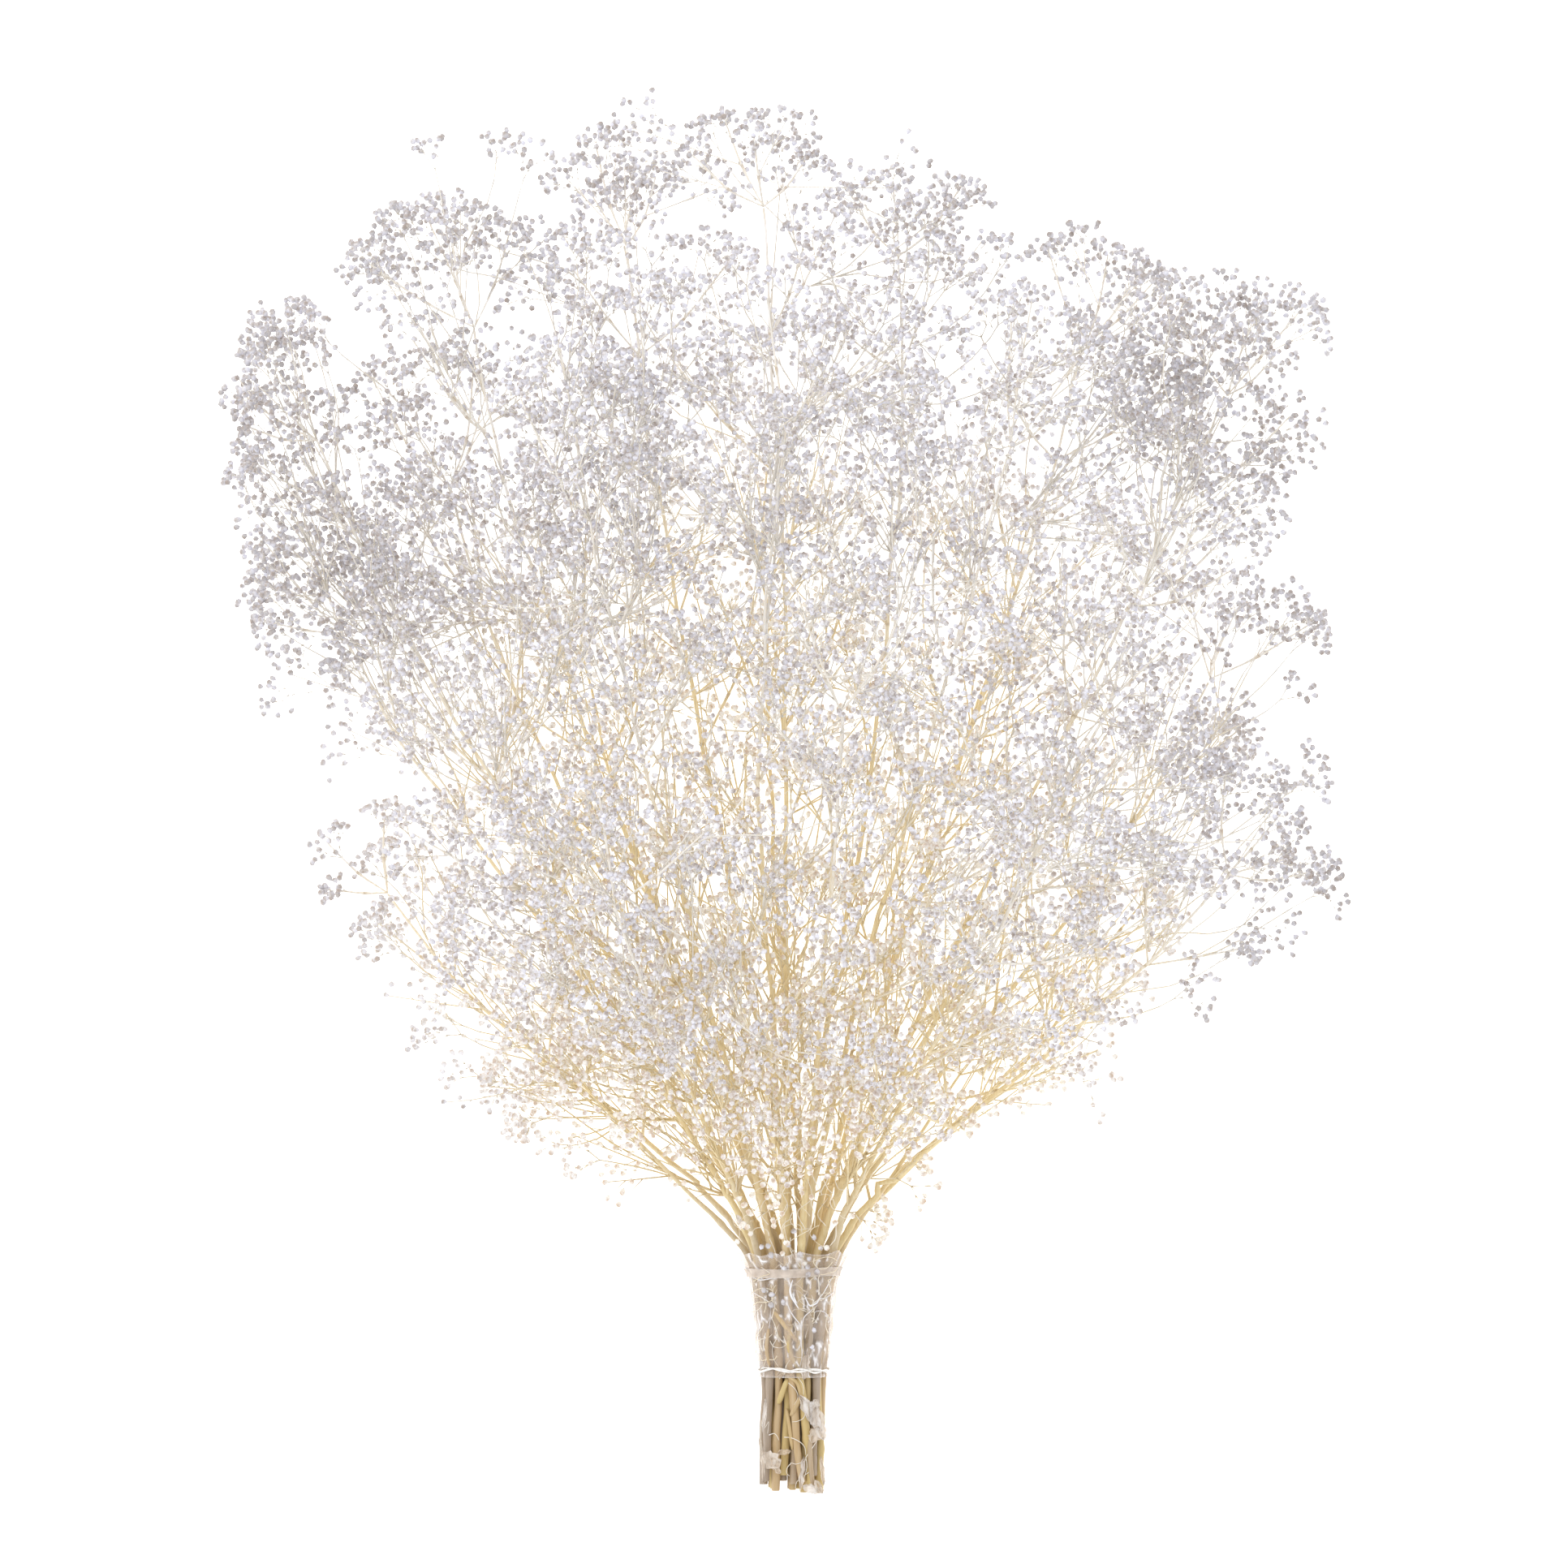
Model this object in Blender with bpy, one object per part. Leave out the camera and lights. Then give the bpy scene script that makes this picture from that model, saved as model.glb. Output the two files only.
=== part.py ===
"""A bunch of preserved gypsophila lying on a surface, in metres with +Z up.

Its branched stems run along +Y from their cut ends to their flower heads. A clear film sleeve holds
them together, with a strip of tape round the sleeve and an elastic band over its lower end.
The origin is on the surface, under the middle of the tape strip.
"""

import math
import random

import bmesh
import bpy
import numpy as np

# Bundle, along Y
CUT_Y = -0.110
CUT_SCATTER = 0.003
LOWER_Y = -0.080
BAND_Y = -0.049
TAPE_Y = 0.0
FILM_START_Y = -0.0525
FILM_END_Y = 0.016
NECK = np.array([0.0, 0.010, 0.012])

# Sheets and gaps
GAP = 0.0003
FILM_THICKNESS = 0.0006
TAPE_THICKNESS = 0.0006
TAPE_WIDTH = 0.0044
TAPE_EDGES = (TAPE_Y - 0.5 * TAPE_WIDTH, TAPE_Y + 0.5 * TAPE_WIDTH)
BAND_RADIUS = 0.0008
BAND_WAVE = 0.0006
BAND_WAVES = 3
WRAP_SIDES = 20
TAPE_LOW = GAP + FILM_THICKNESS + GAP + TAPE_THICKNESS
BAND_LOW = GAP + FILM_THICKNESS + GAP + 2 * BAND_RADIUS

# Outline of the packed stems as (y, half width, lowest point, height)
SECTIONS = (
    (CUT_Y, 0.0162, 0.0032, 0.0232),
    (LOWER_Y, 0.0166, 0.0030, 0.0232),
    (BAND_Y, 0.0170, BAND_LOW, 0.0234),
    (TAPE_Y, 0.0226, TAPE_LOW, 0.0284),
)
MOST_IN_A_LAYER = 7

# Main stems: how they pack, leave the bundle and reach their lobes
STEM_RADIUS = (0.0020, 0.0021)
STEM_TIP_RADIUS = 0.0006
STEM_SIDES = 5
LAYER_FILL = 0.97
MOUTH_REACH = 0.023
NODE_SPACING = 0.058
LEAVE_LEAN = 0.55
LEAVE_SHARE = 0.20
ARRIVE_SHARE = 0.33
ARRIVE_AHEAD = 0.22
SHORT_OF_LOBE = 0.35
FIRST_JOINT = 5
STEM_TRIES = 200

# Branches and twigs: angles in degrees, lengths in metres or as shares of the lobe's radius
TIP_BRANCHES = 4
TIP_ANGLES = (14, 62)
TIP_LENGTHS = (0.90, 1.38)
SIDE_ANGLES = (28, 58)
SIDE_LENGTH_LOW = 0.105
SIDE_LENGTH_HIGH = 0.065
SIDE_SPREAD = (0.70, 1.15)
TWO_BRANCHES_ABOVE = 0.55
BRANCH_STRETCHES = (0.42, 0.58)
BRANCH_RADII = (0.00090, 0.00078, 0.00066)
BRANCH_TRIES = 14
TWIG_ANGLES = (26, 58)
TWIG_LENGTHS = (0.036, 0.066)
TWIG_RADIUS = 0.00042
TWIG_SIDES = 3
TWIG_TRIES = 12
TWIGS_LOW_DOWN_FROM_Y = 0.2

# Buds and the space they share
BUD_LENGTH = 0.0036
BUD_RADIUS = 0.00155
BUD_BELLY = 0.42
CLEARANCE = 0.0003
LOWEST = 0.0002
HEAD_BOTTOM = 0.0015
HEAD_TOP = 0.262
SEED = 8

# Layers of stems, lowest first: (height in the bundle from 0 to 1, sideways slant at the cut ends,
# lobes of the head from left to right). A lobe is (x, y, z, radius), the round space that one
# stem's spray fills at its end.
LAYERS = (
    (0.00, 0.10, (
        (-0.215, 0.196, 0.040, 0.032),
        (-0.236, 0.335, 0.060, 0.050),
        (-0.115, 0.335, 0.034, 0.072),
        (-0.015, 0.425, 0.045, 0.072),
        (0.112, 0.345, 0.034, 0.072),
        (0.162, 0.168, 0.046, 0.036),
    )),
    (0.25, -0.12, (
        (-0.114, 0.104, 0.065, 0.036),
        (-0.245, 0.428, 0.115, 0.042),
        (-0.180, 0.410, 0.080, 0.060),
        (-0.084, 0.530, 0.090, 0.044),
        (0.148, 0.480, 0.085, 0.044),
        (0.218, 0.310, 0.080, 0.050),
        (0.090, 0.108, 0.048, 0.028),
    )),
    (0.50, 0.12, (
        (-0.160, 0.262, 0.130, 0.062),
        (-0.165, 0.488, 0.140, 0.056),
        (-0.014, 0.545, 0.130, 0.044),
        (0.052, 0.520, 0.160, 0.046),
        (0.220, 0.452, 0.150, 0.050),
        (0.226, 0.212, 0.125, 0.048),
    )),
    (0.75, -0.15, (
        (-0.095, 0.200, 0.185, 0.062),
        (-0.105, 0.395, 0.190, 0.070),
        (-0.005, 0.440, 0.200, 0.066),
        (0.110, 0.430, 0.190, 0.066),
        (0.180, 0.360, 0.180, 0.064),
        (0.125, 0.215, 0.180, 0.062),
    )),
    (1.00, 0.45, (
        (-0.020, 0.130, 0.120, 0.052),
        (0.025, 0.300, 0.200, 0.064),
    )),
)
LOBES = np.array([lobe for layer in LAYERS for lobe in layer[2]])


# Directions and curves


def unit(vector):
    return vector / math.sqrt(float(vector @ vector))


def lean(direction, angle, azimuth):
    """The direction turned away from itself by an angle, to the side that the azimuth gives."""
    upright = (0.0, 0.0, 1.0) if abs(direction[2]) < 0.9 else (1.0, 0.0, 0.0)
    side = unit(np.cross(direction, upright))
    away = math.cos(azimuth) * side + math.sin(azimuth) * np.cross(direction, side)
    return math.cos(angle) * direction + math.sin(angle) * away


def scatter(draw, size):
    return np.array([draw.gauss(0.0, size) for _ in range(3)])


def bezier(handles, t):
    start, leave, arrive, end = handles
    s = 1 - t
    return s**3 * start + 3 * s * s * t * leave + 3 * s * t * t * arrive + t**3 * end


def gaps(start, end, starts, ends):
    """Distances from one straight stretch to each of many others."""
    way = end - start
    ways = ends - starts
    offset = start - starts
    a = way @ way
    b = ways @ way
    c = offset @ way
    e = (ways * ways).sum(axis=1)
    f = (ways * offset).sum(axis=1)
    skew = a * e - b * b
    s = np.clip(np.where(skew > 1e-16, (b * f - c * e) / np.maximum(skew, 1e-16), 0.0), 0, 1)
    t = np.clip((b * s + f) / e, 0, 1)
    s = np.clip((b * t - c) / a, 0, 1)
    apart = start + s[:, None] * way - starts - t[:, None] * ways
    return np.sqrt((apart * apart).sum(axis=1))


# Growth of the stems


class Limb:
    """A stem (level 0), branch (1) or twig (2): points from its root to its tip, and radii there."""

    def __init__(self, owner, level, points, radii):
        self.owner = owner
        self.level = level
        self.points = points
        self.radii = radii


class Thicket:
    """Every straight stretch grown so far, to keep each new limb clear of the rest."""

    def __init__(self):
        self.starts = np.zeros((0, 3))
        self.ends = np.zeros((0, 3))
        self.radii = np.zeros(0)
        self.tips = np.zeros((0, 3))

    def add(self, limb):
        points = np.array(limb.points)
        radii = np.array(limb.radii)
        self.starts = np.vstack([self.starts, points[:-1]])
        self.ends = np.vstack([self.ends, points[1:]])
        self.radii = np.append(self.radii, np.maximum(radii[:-1], radii[1:]))
        if limb.level > 0:
            self.tips = np.vstack([self.tips, points[-1:]])

    def room_at(self, place):
        """Distance to the nearest tip."""
        if not len(self.tips):
            return 1.0
        apart = self.tips - place
        return math.sqrt(float((apart * apart).sum(axis=1).min()))

    def is_clear(self, limb):
        """Whether the limb keeps its distance from all stretches but those that meet at its root."""
        root = limb.points[0]
        at_root = np.minimum(
            np.abs(self.starts - root).sum(axis=1), np.abs(self.ends - root).sum(axis=1)
        )
        others = at_root > 1e-4
        starts, ends, radii = self.starts[others], self.ends[others], self.radii[others]
        for i in range(len(limb.points) - 1):
            reach = radii + max(limb.radii[i], limb.radii[i + 1]) + CLEARANCE
            if (gaps(limb.points[i], limb.points[i + 1], starts, ends) < reach).any():
                return False
        return True


def section_at(y):
    """Half width, lowest point and height of the packed stems."""
    stations = [row[0] for row in SECTIONS]
    return [float(np.interp(y, stations, [row[i] for row in SECTIONS])) for i in (1, 2, 3)]


def in_bundle(across, height, y, radius):
    """Centre of a stem in the bundle, from its place across (-1 to 1) and its height (0 to 1)."""
    half, low, tall = section_at(y)
    return np.array([across * (half - radius), y, low + radius + height * (tall - 2 * radius)])


def in_head(place):
    """Whether a place is in the space of some spray, which widens from the neck to its lobe."""
    if not HEAD_BOTTOM < place[2] < HEAD_TOP:
        return False
    axes = LOBES[:, :3] - NECK
    share = np.clip(((place - NECK) * axes).sum(axis=1) / (axes * axes).sum(axis=1), 0.05, 1)
    apart = place - NECK - share[:, None] * axes
    return bool((np.sqrt((apart * apart).sum(axis=1)) < LOBES[:, 3] * share**0.8).any())


def ending_in_bud(points, radii):
    tip = points[-1]
    way = unit(tip - points[-2])
    bud = [tip - BUD_LENGTH * way, tip - BUD_BELLY * BUD_LENGTH * way, tip]
    return points[:-1] + bud, radii[:-1] + [radii[-1], BUD_RADIUS, 0.0]


def main_stem(owner, layer, column, draw):
    """A stem from its cut end through the bundle and into its lobe of the head."""
    height, slant, lobes = layer
    across = LAYER_FILL * (2 * column - (len(lobes) - 1)) / (MOST_IN_A_LAYER - 1)
    radius = draw.uniform(*STEM_RADIUS)
    centre = np.array(lobes[column][:3])
    tip = centre + SHORT_OF_LOBE * lobes[column][3] * unit(NECK - centre)
    cut_y = CUT_Y + draw.uniform(-CUT_SCATTER, CUT_SCATTER)
    route = ((cut_y, 1.0), (LOWER_Y, 0.6), (BAND_Y, 0.1), (TAPE_Y, 0.0))
    points = [in_bundle(across + slant * shift, height, y, radius) for y, shift in route]
    start = points[-1]
    reach = tip - start
    length = math.sqrt(float(reach @ reach))
    leave = unit(unit(start - points[-2]) + LEAVE_LEAN * unit(reach) + scatter(draw, 0.04))
    arrive = unit(unit(reach) + np.array([0.0, ARRIVE_AHEAD, 0.0]) + scatter(draw, 0.10))
    leaving = start + LEAVE_SHARE * length * leave
    arriving = tip - ARRIVE_SHARE * length * arrive
    steps = max(2, round(length / NODE_SPACING))
    radii = [radius] * len(points)
    for share in [MOUTH_REACH / (3 * LEAVE_SHARE * length)] + [(i + 1) / steps for i in range(steps)]:
        place = bezier((start, leaving, arriving, tip), share)
        points.append(place + scatter(draw, 0.0012 * share))
        radii.append(radius + (STEM_TIP_RADIUS - radius) * share**0.6)
    return Limb(owner, 0, points, radii)


def branch(stem, vertex, length, angle, azimuth, draw):
    """A side branch from a joint of a stem, bending towards the stem's own direction."""
    ahead = stem.points[min(vertex + 1, len(stem.points) - 1)]
    along = unit(ahead - stem.points[vertex - 1])
    way = lean(along, angle, azimuth)
    points = [stem.points[vertex]]
    for share in BRANCH_STRETCHES:
        points.append(points[-1] + share * length * way)
        way = unit(way + 0.25 * along + scatter(draw, 0.10) + np.array([0.0, 0.03, 0.0]))
    radii = [min(BRANCH_RADII[0], 0.75 * stem.radii[vertex]), *BRANCH_RADII[1:]]
    return Limb(stem.owner, 1, *ending_in_bud(points, radii))


def twig(parent, vertex, length, angle, azimuth):
    """A straight twig from a joint of a branch."""
    root = parent.points[vertex]
    way = lean(unit(parent.points[vertex + 1] - parent.points[vertex - 1]), angle, azimuth)
    points, radii = ending_in_bud([root, root + length * way], [TWIG_RADIUS, TWIG_RADIUS])
    return Limb(parent.owner, 2, points, radii)


def best_of(tries, thicket, make):
    """Of several drawn limbs, the one that is clear and ends where there is most room."""
    best = None
    most = 0.0
    for _ in range(tries):
        limb = make()
        tip = limb.points[-1]
        low = min(point[2] - radius for point, radius in zip(limb.points, limb.radii))
        if low < LOWEST or not in_head(tip):
            continue
        room = thicket.room_at(tip)
        if room > most and thicket.is_clear(limb):
            best = limb
            most = room
    if best:
        thicket.add(best)
    return best


def grow_mains(draw, thicket):
    mains = []
    for layer in LAYERS:
        for column in range(len(layer[2])):
            for _ in range(STEM_TRIES):
                main = main_stem(len(mains), layer, column, draw)
                if thicket.is_clear(main):
                    break
            else:
                raise ValueError(f"stem {len(mains) + 1} finds no clear way")
            thicket.add(main)
            mains.append(main)
    return mains


def branch_sites(main, vertex):
    """How many branches a joint takes, with their length, its spread and their angles."""
    last = len(main.points) - 1
    if vertex == last:
        return TIP_BRANCHES, LOBES[main.owner, 3], TIP_LENGTHS, TIP_ANGLES
    height = (vertex - FIRST_JOINT) / (last - FIRST_JOINT)
    size = SIDE_LENGTH_LOW + (SIDE_LENGTH_HIGH - SIDE_LENGTH_LOW) * height
    if height > TWO_BRANCHES_ABOVE:
        sites = 2
    elif vertex > FIRST_JOINT or main.owner % 2:
        sites = 1
    else:
        sites = 0
    return sites, size, SIDE_SPREAD, SIDE_ANGLES


def grow_branches(stems, draw, thicket):
    """Branches from the tips down, so that the outline fills first."""
    for step in range(max(len(stem[0].points) for stem in stems) - FIRST_JOINT):
        for stem in stems:
            main = stem[0]
            vertex = len(main.points) - 1 - step
            if vertex < FIRST_JOINT:
                continue
            sites, size, spread, angles = branch_sites(main, vertex)

            def drawn():
                angle = math.radians(draw.uniform(*angles))
                azimuth = draw.uniform(0, math.tau)
                return branch(main, vertex, size * draw.uniform(*spread), angle, azimuth, draw)

            for _ in range(sites):
                limb = best_of(BRANCH_TRIES, thicket, drawn)
                if limb:
                    stem.append(limb)


def grow_twigs(stems, draw, thicket):
    """A twig at the end of each branch, then one at the middle of those that start high enough."""
    for vertex, lowest in ((2, TAPE_Y), (1, TWIGS_LOW_DOWN_FROM_Y)):
        for stem in stems:
            branches = [limb for limb in stem if limb.level == 1]
            for parent in [limb for limb in branches if limb.points[0][1] > lowest]:

                def drawn():
                    angle = math.radians(draw.uniform(*TWIG_ANGLES))
                    azimuth = draw.uniform(0, math.tau)
                    return twig(parent, vertex, draw.uniform(*TWIG_LENGTHS), angle, azimuth)

                limb = best_of(TWIG_TRIES, thicket, drawn)
                if limb:
                    stem.append(limb)


def grow():
    """Each stem as a list of limbs, its main stem first."""
    draw = random.Random(SEED)
    thicket = Thicket()
    stems = [[main] for main in grow_mains(draw, thicket)]
    grow_branches(stems, draw, thicket)
    grow_twigs(stems, draw, thicket)
    return stems


# Solids


def new_material(name, colour, roughness, alpha=1.0):
    material = bpy.data.materials.new(name)
    material.use_nodes = True
    shader = material.node_tree.nodes["Principled BSDF"]
    shader.inputs["Base Color"].default_value = (*colour, 1.0)
    shader.inputs["Roughness"].default_value = roughness
    shader.inputs["Metallic"].default_value = 0.0
    shader.inputs["Alpha"].default_value = alpha
    return material


def new_object(name, data, collection):
    made = bpy.data.objects.new(name, data)
    collection.objects.link(made)
    return made


def new_profile(sides, collection):
    """A closed polygon of radius 1 that tubes take as their section."""
    curve = bpy.data.curves.new(f"section_{sides}", "CURVE")
    curve.dimensions = "2D"
    spline = curve.splines.new("POLY")
    spline.points.add(sides - 1)
    for i, point in enumerate(spline.points):
        turn = math.tau * i / sides
        point.co = (math.cos(turn), math.sin(turn), 0.0, 1.0)
    spline.use_cyclic_u = True
    profile = new_object(curve.name, curve, collection)
    profile.hide_render = True
    profile.display_type = "WIRE"
    return profile


def limb_curve(name, limb, profile, collection):
    curve = bpy.data.curves.new(name, "CURVE")
    curve.dimensions = "3D"
    curve.bevel_mode = "OBJECT"
    curve.bevel_object = profile
    curve.use_fill_caps = True
    spline = curve.splines.new("POLY")
    spline.points.add(len(limb.points) - 1)
    for point, place, radius in zip(spline.points, limb.points, limb.radii):
        point.co = (*place, 1.0)
        point.radius = radius
    return new_object(name, curve, collection)


def mesh_from_curve(curve_object, graph, collection):
    """The curve as a closed mesh in its place. The curve is removed."""
    mesh = bpy.data.meshes.new_from_object(curve_object.evaluated_get(graph))
    work = bmesh.new()
    work.from_mesh(mesh)
    bmesh.ops.remove_doubles(work, verts=work.verts, dist=1e-6)
    bmesh.ops.recalc_face_normals(work, faces=work.faces)
    work.to_mesh(mesh)
    work.free()
    name = curve_object.name
    place = curve_object.matrix_world.copy()
    bpy.data.objects.remove(curve_object)
    made = new_object(name, mesh, collection)
    made.matrix_world = place
    return made


def fused_stem(name, limbs, profiles, material, parts, cutters):
    """One stem with its branches and twigs joined into one solid."""
    curves = []
    for i, limb in enumerate(limbs):
        sides = STEM_SIDES if limb.level == 0 else TWIG_SIDES
        curves.append(limb_curve(f"{name}_limb_{i}", limb, profiles[sides], cutters))
    graph = bpy.context.evaluated_depsgraph_get()
    meshes = [mesh_from_curve(curve, graph, cutters) for curve in curves]
    stem = meshes[0]
    cutters.objects.unlink(stem)
    parts.objects.link(stem)
    stem.name = name
    union = stem.modifiers.new("Union", "BOOLEAN")
    union.operation = "UNION"
    union.operand_type = "COLLECTION"
    union.collection = cutters
    union.solver = "MANIFOLD"
    graph = bpy.context.evaluated_depsgraph_get()
    joined = bpy.data.meshes.new_from_object(stem.evaluated_get(graph))
    stem.modifiers.clear()
    stem.data = joined
    joined.materials.clear()
    joined.materials.append(material)
    for limb_object in meshes[1:]:
        bpy.data.objects.remove(limb_object)
    return stem


# Wraps round the bundle


def cut_across(stem, y):
    """Centre and radius of a stem where it crosses y, wider where it runs at a slant."""
    points = np.array(stem.points)
    x = np.interp(y, points[:, 1], points[:, 0])
    z = np.interp(y, points[:, 1], points[:, 2])
    runs = np.diff(points, axis=0)
    near = (points[:-1, 1] < y + stem.radii[0]) & (points[1:, 1] > y - stem.radii[0])
    slants = np.sqrt((runs * runs).sum(axis=1)) / runs[:, 1]
    return x, z, stem.radii[0] * slants[near].max()


def stretched_round(mains, y, offset, floor=None):
    """A polygon drawn tight round the stems at y and moved outward, or down to the floor below."""
    circles = np.array([cut_across(stem, y) for stem in mains])
    turns = math.tau * np.arange(WRAP_SIDES) / WRAP_SIDES
    normals = np.stack([np.cos(turns), np.sin(turns)], axis=1)
    reach = (normals @ circles[:, :2].T + circles[:, 2]).max(axis=1) + offset
    if floor is not None:
        reach[WRAP_SIDES * 3 // 4] = -floor
    ring = []
    for i in range(WRAP_SIDES):
        pair = [i, (i + 1) % WRAP_SIDES]
        x, z = np.linalg.solve(normals[pair], reach[pair])
        ring.append((x, y, z))
    return ring


def lofted(name, rings, material, parts):
    """A closed skin through the rings, the last joined to the first."""
    work = bmesh.new()
    loops = [[work.verts.new(place) for place in ring] for ring in rings]
    for loop, after in zip(loops, loops[1:] + loops[:1]):
        for i in range(WRAP_SIDES):
            j = (i + 1) % WRAP_SIDES
            work.faces.new((loop[i], loop[j], after[j], after[i]))
    bmesh.ops.recalc_face_normals(work, faces=work.faces)
    mesh = bpy.data.meshes.new(name)
    work.to_mesh(mesh)
    work.free()
    mesh.materials.append(material)
    return new_object(name, mesh, parts)


def film_sleeve(mains, material, parts):
    stations = (FILM_START_Y, BAND_Y, 0.5 * BAND_Y, *TAPE_EDGES, FILM_END_Y)
    inside = [stretched_round(mains, y, GAP) for y in stations]
    outside = [stretched_round(mains, y, GAP + FILM_THICKNESS) for y in stations]
    return lofted("film_sleeve", inside + outside[::-1], material, parts)


def tape_strip(mains, material, parts):
    """The strip lies flat on the surface below."""
    over_film = GAP + FILM_THICKNESS + GAP
    inside = [stretched_round(mains, y, over_film, TAPE_THICKNESS) for y in TAPE_EDGES]
    outside = [stretched_round(mains, y, over_film + TAPE_THICKNESS, 0.0) for y in TAPE_EDGES]
    return lofted("tape_strip", inside + outside[::-1], material, parts)


def elastic_band(mains, material, parts):
    curve = bpy.data.curves.new("elastic_band", "CURVE")
    curve.dimensions = "3D"
    curve.bevel_depth = BAND_RADIUS
    curve.bevel_resolution = 1
    spline = curve.splines.new("POLY")
    route = stretched_round(mains, BAND_Y, BAND_LOW - BAND_RADIUS)
    spline.points.add(len(route) - 1)
    for i, (point, (x, y, z)) in enumerate(zip(spline.points, route)):
        wave = BAND_WAVE * math.sin(math.tau * BAND_WAVES * i / WRAP_SIDES)
        point.co = (x, y + wave, z, 1.0)
    spline.use_cyclic_u = True
    curve.materials.append(material)
    return new_object("elastic_band", curve, parts)


def main():
    for old in list(bpy.data.objects):
        bpy.data.objects.remove(old)
    parts = bpy.data.collections.new("gypsophila_bunch")
    cutters = bpy.data.collections.new("limbs")
    sections = bpy.data.collections.new("sections")
    for collection in (parts, cutters, sections):
        bpy.context.scene.collection.children.link(collection)
    straw = new_material("dried_stem", (0.72, 0.58, 0.36), 0.75)
    clear = new_material("clear_film", (0.90, 0.90, 0.90), 0.15, 0.3)
    greyish = new_material("matt_tape", (0.66, 0.60, 0.52), 0.45)
    white = new_material("elastic", (0.85, 0.84, 0.82), 0.6)
    stems = grow()
    profiles = {sides: new_profile(sides, sections) for sides in (STEM_SIDES, TWIG_SIDES)}
    for number, limbs in enumerate(stems, 1):
        fused_stem(f"stem_{number:02d}", limbs, profiles, straw, parts, cutters)
    for profile in profiles.values():
        bpy.data.objects.remove(profile)
    mains = [limbs[0] for limbs in stems]
    film_sleeve(mains, clear, parts)
    tape_strip(mains, greyish, parts)
    elastic_band(mains, white, parts)


main()
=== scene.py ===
"""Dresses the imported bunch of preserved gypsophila. Metres, +Y from cut ends to flower heads, +Z up.

The first part grows the same limbs as the CAD, by the same seeded rule, so that every fine piece
keeps the form of the node it stands for. The rest adds knots, flowering twigs, buds, film, tape,
band, litter and leaf scraps, then the looks and the stage.
"""

import math
import random

import bpy
import numpy as np
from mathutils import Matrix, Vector, noise


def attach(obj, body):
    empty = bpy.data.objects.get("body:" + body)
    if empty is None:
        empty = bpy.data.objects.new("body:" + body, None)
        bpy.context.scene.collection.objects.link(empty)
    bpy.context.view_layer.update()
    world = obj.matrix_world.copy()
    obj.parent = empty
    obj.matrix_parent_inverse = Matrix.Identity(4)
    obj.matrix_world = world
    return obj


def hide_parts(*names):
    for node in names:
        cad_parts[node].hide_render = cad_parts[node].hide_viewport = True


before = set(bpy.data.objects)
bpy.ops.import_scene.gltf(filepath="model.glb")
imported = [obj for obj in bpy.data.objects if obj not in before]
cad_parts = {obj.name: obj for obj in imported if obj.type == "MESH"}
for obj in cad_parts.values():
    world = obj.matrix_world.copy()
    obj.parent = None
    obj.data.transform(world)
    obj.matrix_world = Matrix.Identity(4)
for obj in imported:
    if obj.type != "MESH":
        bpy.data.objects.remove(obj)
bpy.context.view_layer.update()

# Bundle, along Y
CUT_Y = -0.110
CUT_SCATTER = 0.003
LOWER_Y = -0.080
BAND_Y = -0.049
TAPE_Y = 0.0
FILM_START_Y = -0.0525
NECK = np.array([0.0, 0.010, 0.012])

# Sheets and gaps
GAP = 0.0003
FILM_THICKNESS = 0.0006
TAPE_THICKNESS = 0.0006
TAPE_WIDTH = 0.0044
TAPE_EDGES = (TAPE_Y - 0.5 * TAPE_WIDTH, TAPE_Y + 0.5 * TAPE_WIDTH)
BAND_RADIUS = 0.0008
TAPE_LOW = GAP + FILM_THICKNESS + GAP + TAPE_THICKNESS
BAND_LOW = GAP + FILM_THICKNESS + GAP + 2 * BAND_RADIUS

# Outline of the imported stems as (y, half width, lowest point, height)
SECTIONS = (
    (CUT_Y, 0.0162, 0.0032, 0.0232),
    (LOWER_Y, 0.0166, 0.0030, 0.0232),
    (BAND_Y, 0.0170, BAND_LOW, 0.0234),
    (TAPE_Y, 0.0226, TAPE_LOW, 0.0284),
)
MOST_IN_A_LAYER = 7

# Main stems: how they pack, leave the bundle and reach their lobes
STEM_RADIUS = (0.0020, 0.0021)
STEM_TIP_RADIUS = 0.0006
LAYER_FILL = 0.97
MOUTH_REACH = 0.023
NODE_SPACING = 0.058
LEAVE_LEAN = 0.55
LEAVE_SHARE = 0.20
ARRIVE_SHARE = 0.33
ARRIVE_AHEAD = 0.22
SHORT_OF_LOBE = 0.35
FIRST_JOINT = 5
STEM_TRIES = 200

# Branches and twigs: angles in degrees, lengths in metres or as shares of the lobe's radius
TIP_BRANCHES = 4
TIP_ANGLES = (14, 62)
TIP_LENGTHS = (0.90, 1.38)
SIDE_ANGLES = (28, 58)
SIDE_LENGTH_LOW = 0.105
SIDE_LENGTH_HIGH = 0.065
SIDE_SPREAD = (0.70, 1.15)
TWO_BRANCHES_ABOVE = 0.55
BRANCH_STRETCHES = (0.42, 0.58)
BRANCH_RADII = (0.00090, 0.00078, 0.00066)
BRANCH_TRIES = 14
TWIG_ANGLES = (26, 58)
TWIG_LENGTHS = (0.036, 0.066)
TWIG_RADIUS = 0.00042
TWIG_TRIES = 12
TWIGS_LOW_DOWN_FROM_Y = 0.2

# Buds and the space they share
BUD_LENGTH = 0.0036
BUD_RADIUS = 0.00155
BUD_BELLY = 0.42
CLEARANCE = 0.0003
LOWEST = 0.0002
HEAD_BOTTOM = 0.0015
HEAD_TOP = 0.262
SEED = 8

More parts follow.
